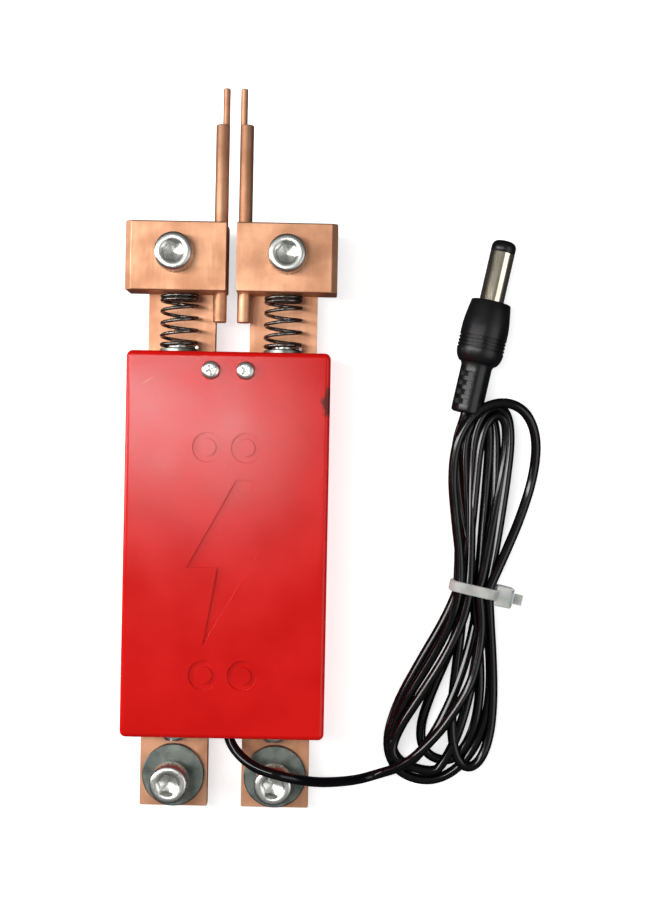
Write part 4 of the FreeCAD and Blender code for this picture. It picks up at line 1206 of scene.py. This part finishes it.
@dataclass
class Spring:
    """A compression spring with closed coils at both ends, its seat washer and screw."""

    side: str
    wire: float = 0.4 * MM
    closed_pitch: float = 2.04
    foot_turns: float = 0.9
    active_turns: float = 3.45
    head_turns: float = 1.9
    steps: int = 28
    pressed_share: float = 0.676
    washer_bore: float = 1.4 * MM

    def build(self) -> None:
        """Make the spring, its washer and its screw."""
        node = self.side + "_spring"
        low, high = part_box(node)
        centre = middle(node)
        coil = (high[0] - low[0]) / 2 - self.wire
        closed = self.closed_pitch * self.wire
        rise = high[1] - low[1] - 2 * self.wire
        active_rise = rise - closed * (self.foot_turns + self.head_turns)
        mesh = bmesh.new()
        ring = bmesh.ops.create_circle(mesh, cap_ends=True, segments=12, radius=self.wire)["verts"]
        start = Vector((centre.x + coil, low[1] + self.wire, centre.z))
        bmesh.ops.translate(mesh, verts=ring, vec=start)
        loop = ring + list(dict.fromkeys(edge for corner in ring for edge in corner.link_edges))
        spans = ((self.foot_turns, closed), (self.active_turns, active_rise / self.active_turns),
                 (self.head_turns, closed))
        for turns, climb in spans:
            count = max(3, round(turns * self.steps))
            spun = bmesh.ops.spin(mesh, geom=loop, cent=(centre.x, 0, centre.z), axis=(0, 1, 0),
                                  dvec=(0, climb * turns / count, 0), angle=2 * math.pi * turns, steps=count,
                                  use_merge=False)
            loop = spun["geom_last"]
        rim = [item for item in loop if isinstance(item, bmesh.types.BMEdge)]
        bmesh.ops.contextual_create(mesh, geom=rim)
        piece = settle("coil_" + node, mesh, Finish.SPRING, "case", node)
        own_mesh(piece)
        self.add_seat(centre)

    def add_seat(self, centre: Vector) -> None:
        """Make the seat washer and its screw.

        Args:
            centre: middle of the spring.
        """
        node = self.side + "_spring_washer"
        low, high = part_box(node)
        place = Matrix.Translation((centre.x, low[1], centre.z)) @ ALONG_Y
        rings = washer_rings((high[0] - low[0]) / 2, self.washer_bore, high[1] - low[1])
        turn_piece("seat_" + node, rings, [place], Finish.ZINC, "case", node, hollow=True)
        node = self.side + "_seat_screw"
        tail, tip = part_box(node)
        place = Matrix.Translation((centre.x, high[1], centre.z)) @ ALONG_Y
        PanScrew(height=tip[1] - high[1]).fit(node, [place], high[1] - tail[1])


@dataclass
class Carrier:
    """A copper bar with its clamp, electrode and cable terminal, which slides as one."""

    side: str
    sign: int
    screws: Screws
    bar_edge: float = 0.22 * MM
    block_edge: float = 0.16 * MM
    tip_length: float = 8.0 * MM
    tip_radius: float = 0.75 * MM
    tip_offset: float = 0.72 * MM
    washer_bore: float = 2.6 * MM

    @property
    def body(self) -> str:
        """Name of the body that the carrier is."""
        return self.side + "_carrier"

    def build(self) -> None:
        """Make every piece of the carrier."""
        bar, block = self.side + "_bar", self.side + "_clamp_block"
        soften("flat_", bar, self.bar_edge, Finish.COPPER, self.body)
        soften("split_", block, self.block_edge, Finish.COPPER, self.body)
        self.add_electrode()
        for part in ("_clamp_screw", "_terminal_screw"):
            self.screws.cap_screw(self.side + part, self.body)
        for part in ("_clamp_nut", "_terminal_nut"):
            self.screws.nut(self.side + part, self.body)
        self.add_terminal_washer()
        dress(self.side + "_stop_pin", Finish.STEEL)
        if self.side == "left":
            dress("trigger_post", Finish.STEEL)

    def add_electrode(self) -> None:
        """Make the electrode, with its slim tip turned towards the other one."""
        node = self.side + "_electrode"
        low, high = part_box(node)
        radius = (high[2] - low[2]) / 2
        centre = middle(node)
        shank = high[1] - low[1] - self.tip_length
        end = high[1] - low[1]
        shift = -self.sign * self.tip_offset
        rings = [
            Ring(radius - 0.18 * MM, 0.0), Ring(radius, 0.18 * MM), Ring(radius, shank - 0.25 * MM),
            Ring(radius - 0.06 * MM, shank - 0.08 * MM), Ring(radius - 0.2 * MM, shank, shift=0.1 * shift),
            Ring(self.tip_radius + 0.02 * MM, shank + 0.02 * MM, shift=shift),
            Ring(self.tip_radius, shank + 0.15 * MM, shift=shift),
            Ring(self.tip_radius, end - 0.15 * MM, shift=shift),
            Ring(self.tip_radius - 0.15 * MM, end, shift=shift),
        ]
        place = Matrix.Translation((centre.x, low[1], centre.z)) @ ALONG_Y
        turn_piece("ground_" + node, rings, [place], Finish.COPPER, self.body, node, 48)

    def add_terminal_washer(self) -> None:
        """Make the wide washer under the cable terminal."""
        node = self.side + "_terminal_washer"
        low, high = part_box(node)
        centre = middle(node)
        rings = washer_rings((high[0] - low[0]) / 2, self.washer_bore, high[2] - low[2])
        place = Matrix.Translation((centre.x, centre.y, low[2]))
        turn_piece("wide_" + node, rings, [place], Finish.ZINC, self.body, node, hollow=True)


def main() -> None:
    """Build the pen, piece by piece."""
    logging.basicConfig(level=logging.INFO, format="%(message)s")
    Studio().build()
    lead = Lead()
    cord = lead.build()
    tie = CableTie().build()
    plug = Plug().build()
    Case().build()
    screws = Screws()
    for side, sign in SIDES:
        Spring(side).build()
        Carrier(side, sign, screws).build()


if __name__ == "__main__":
    main()
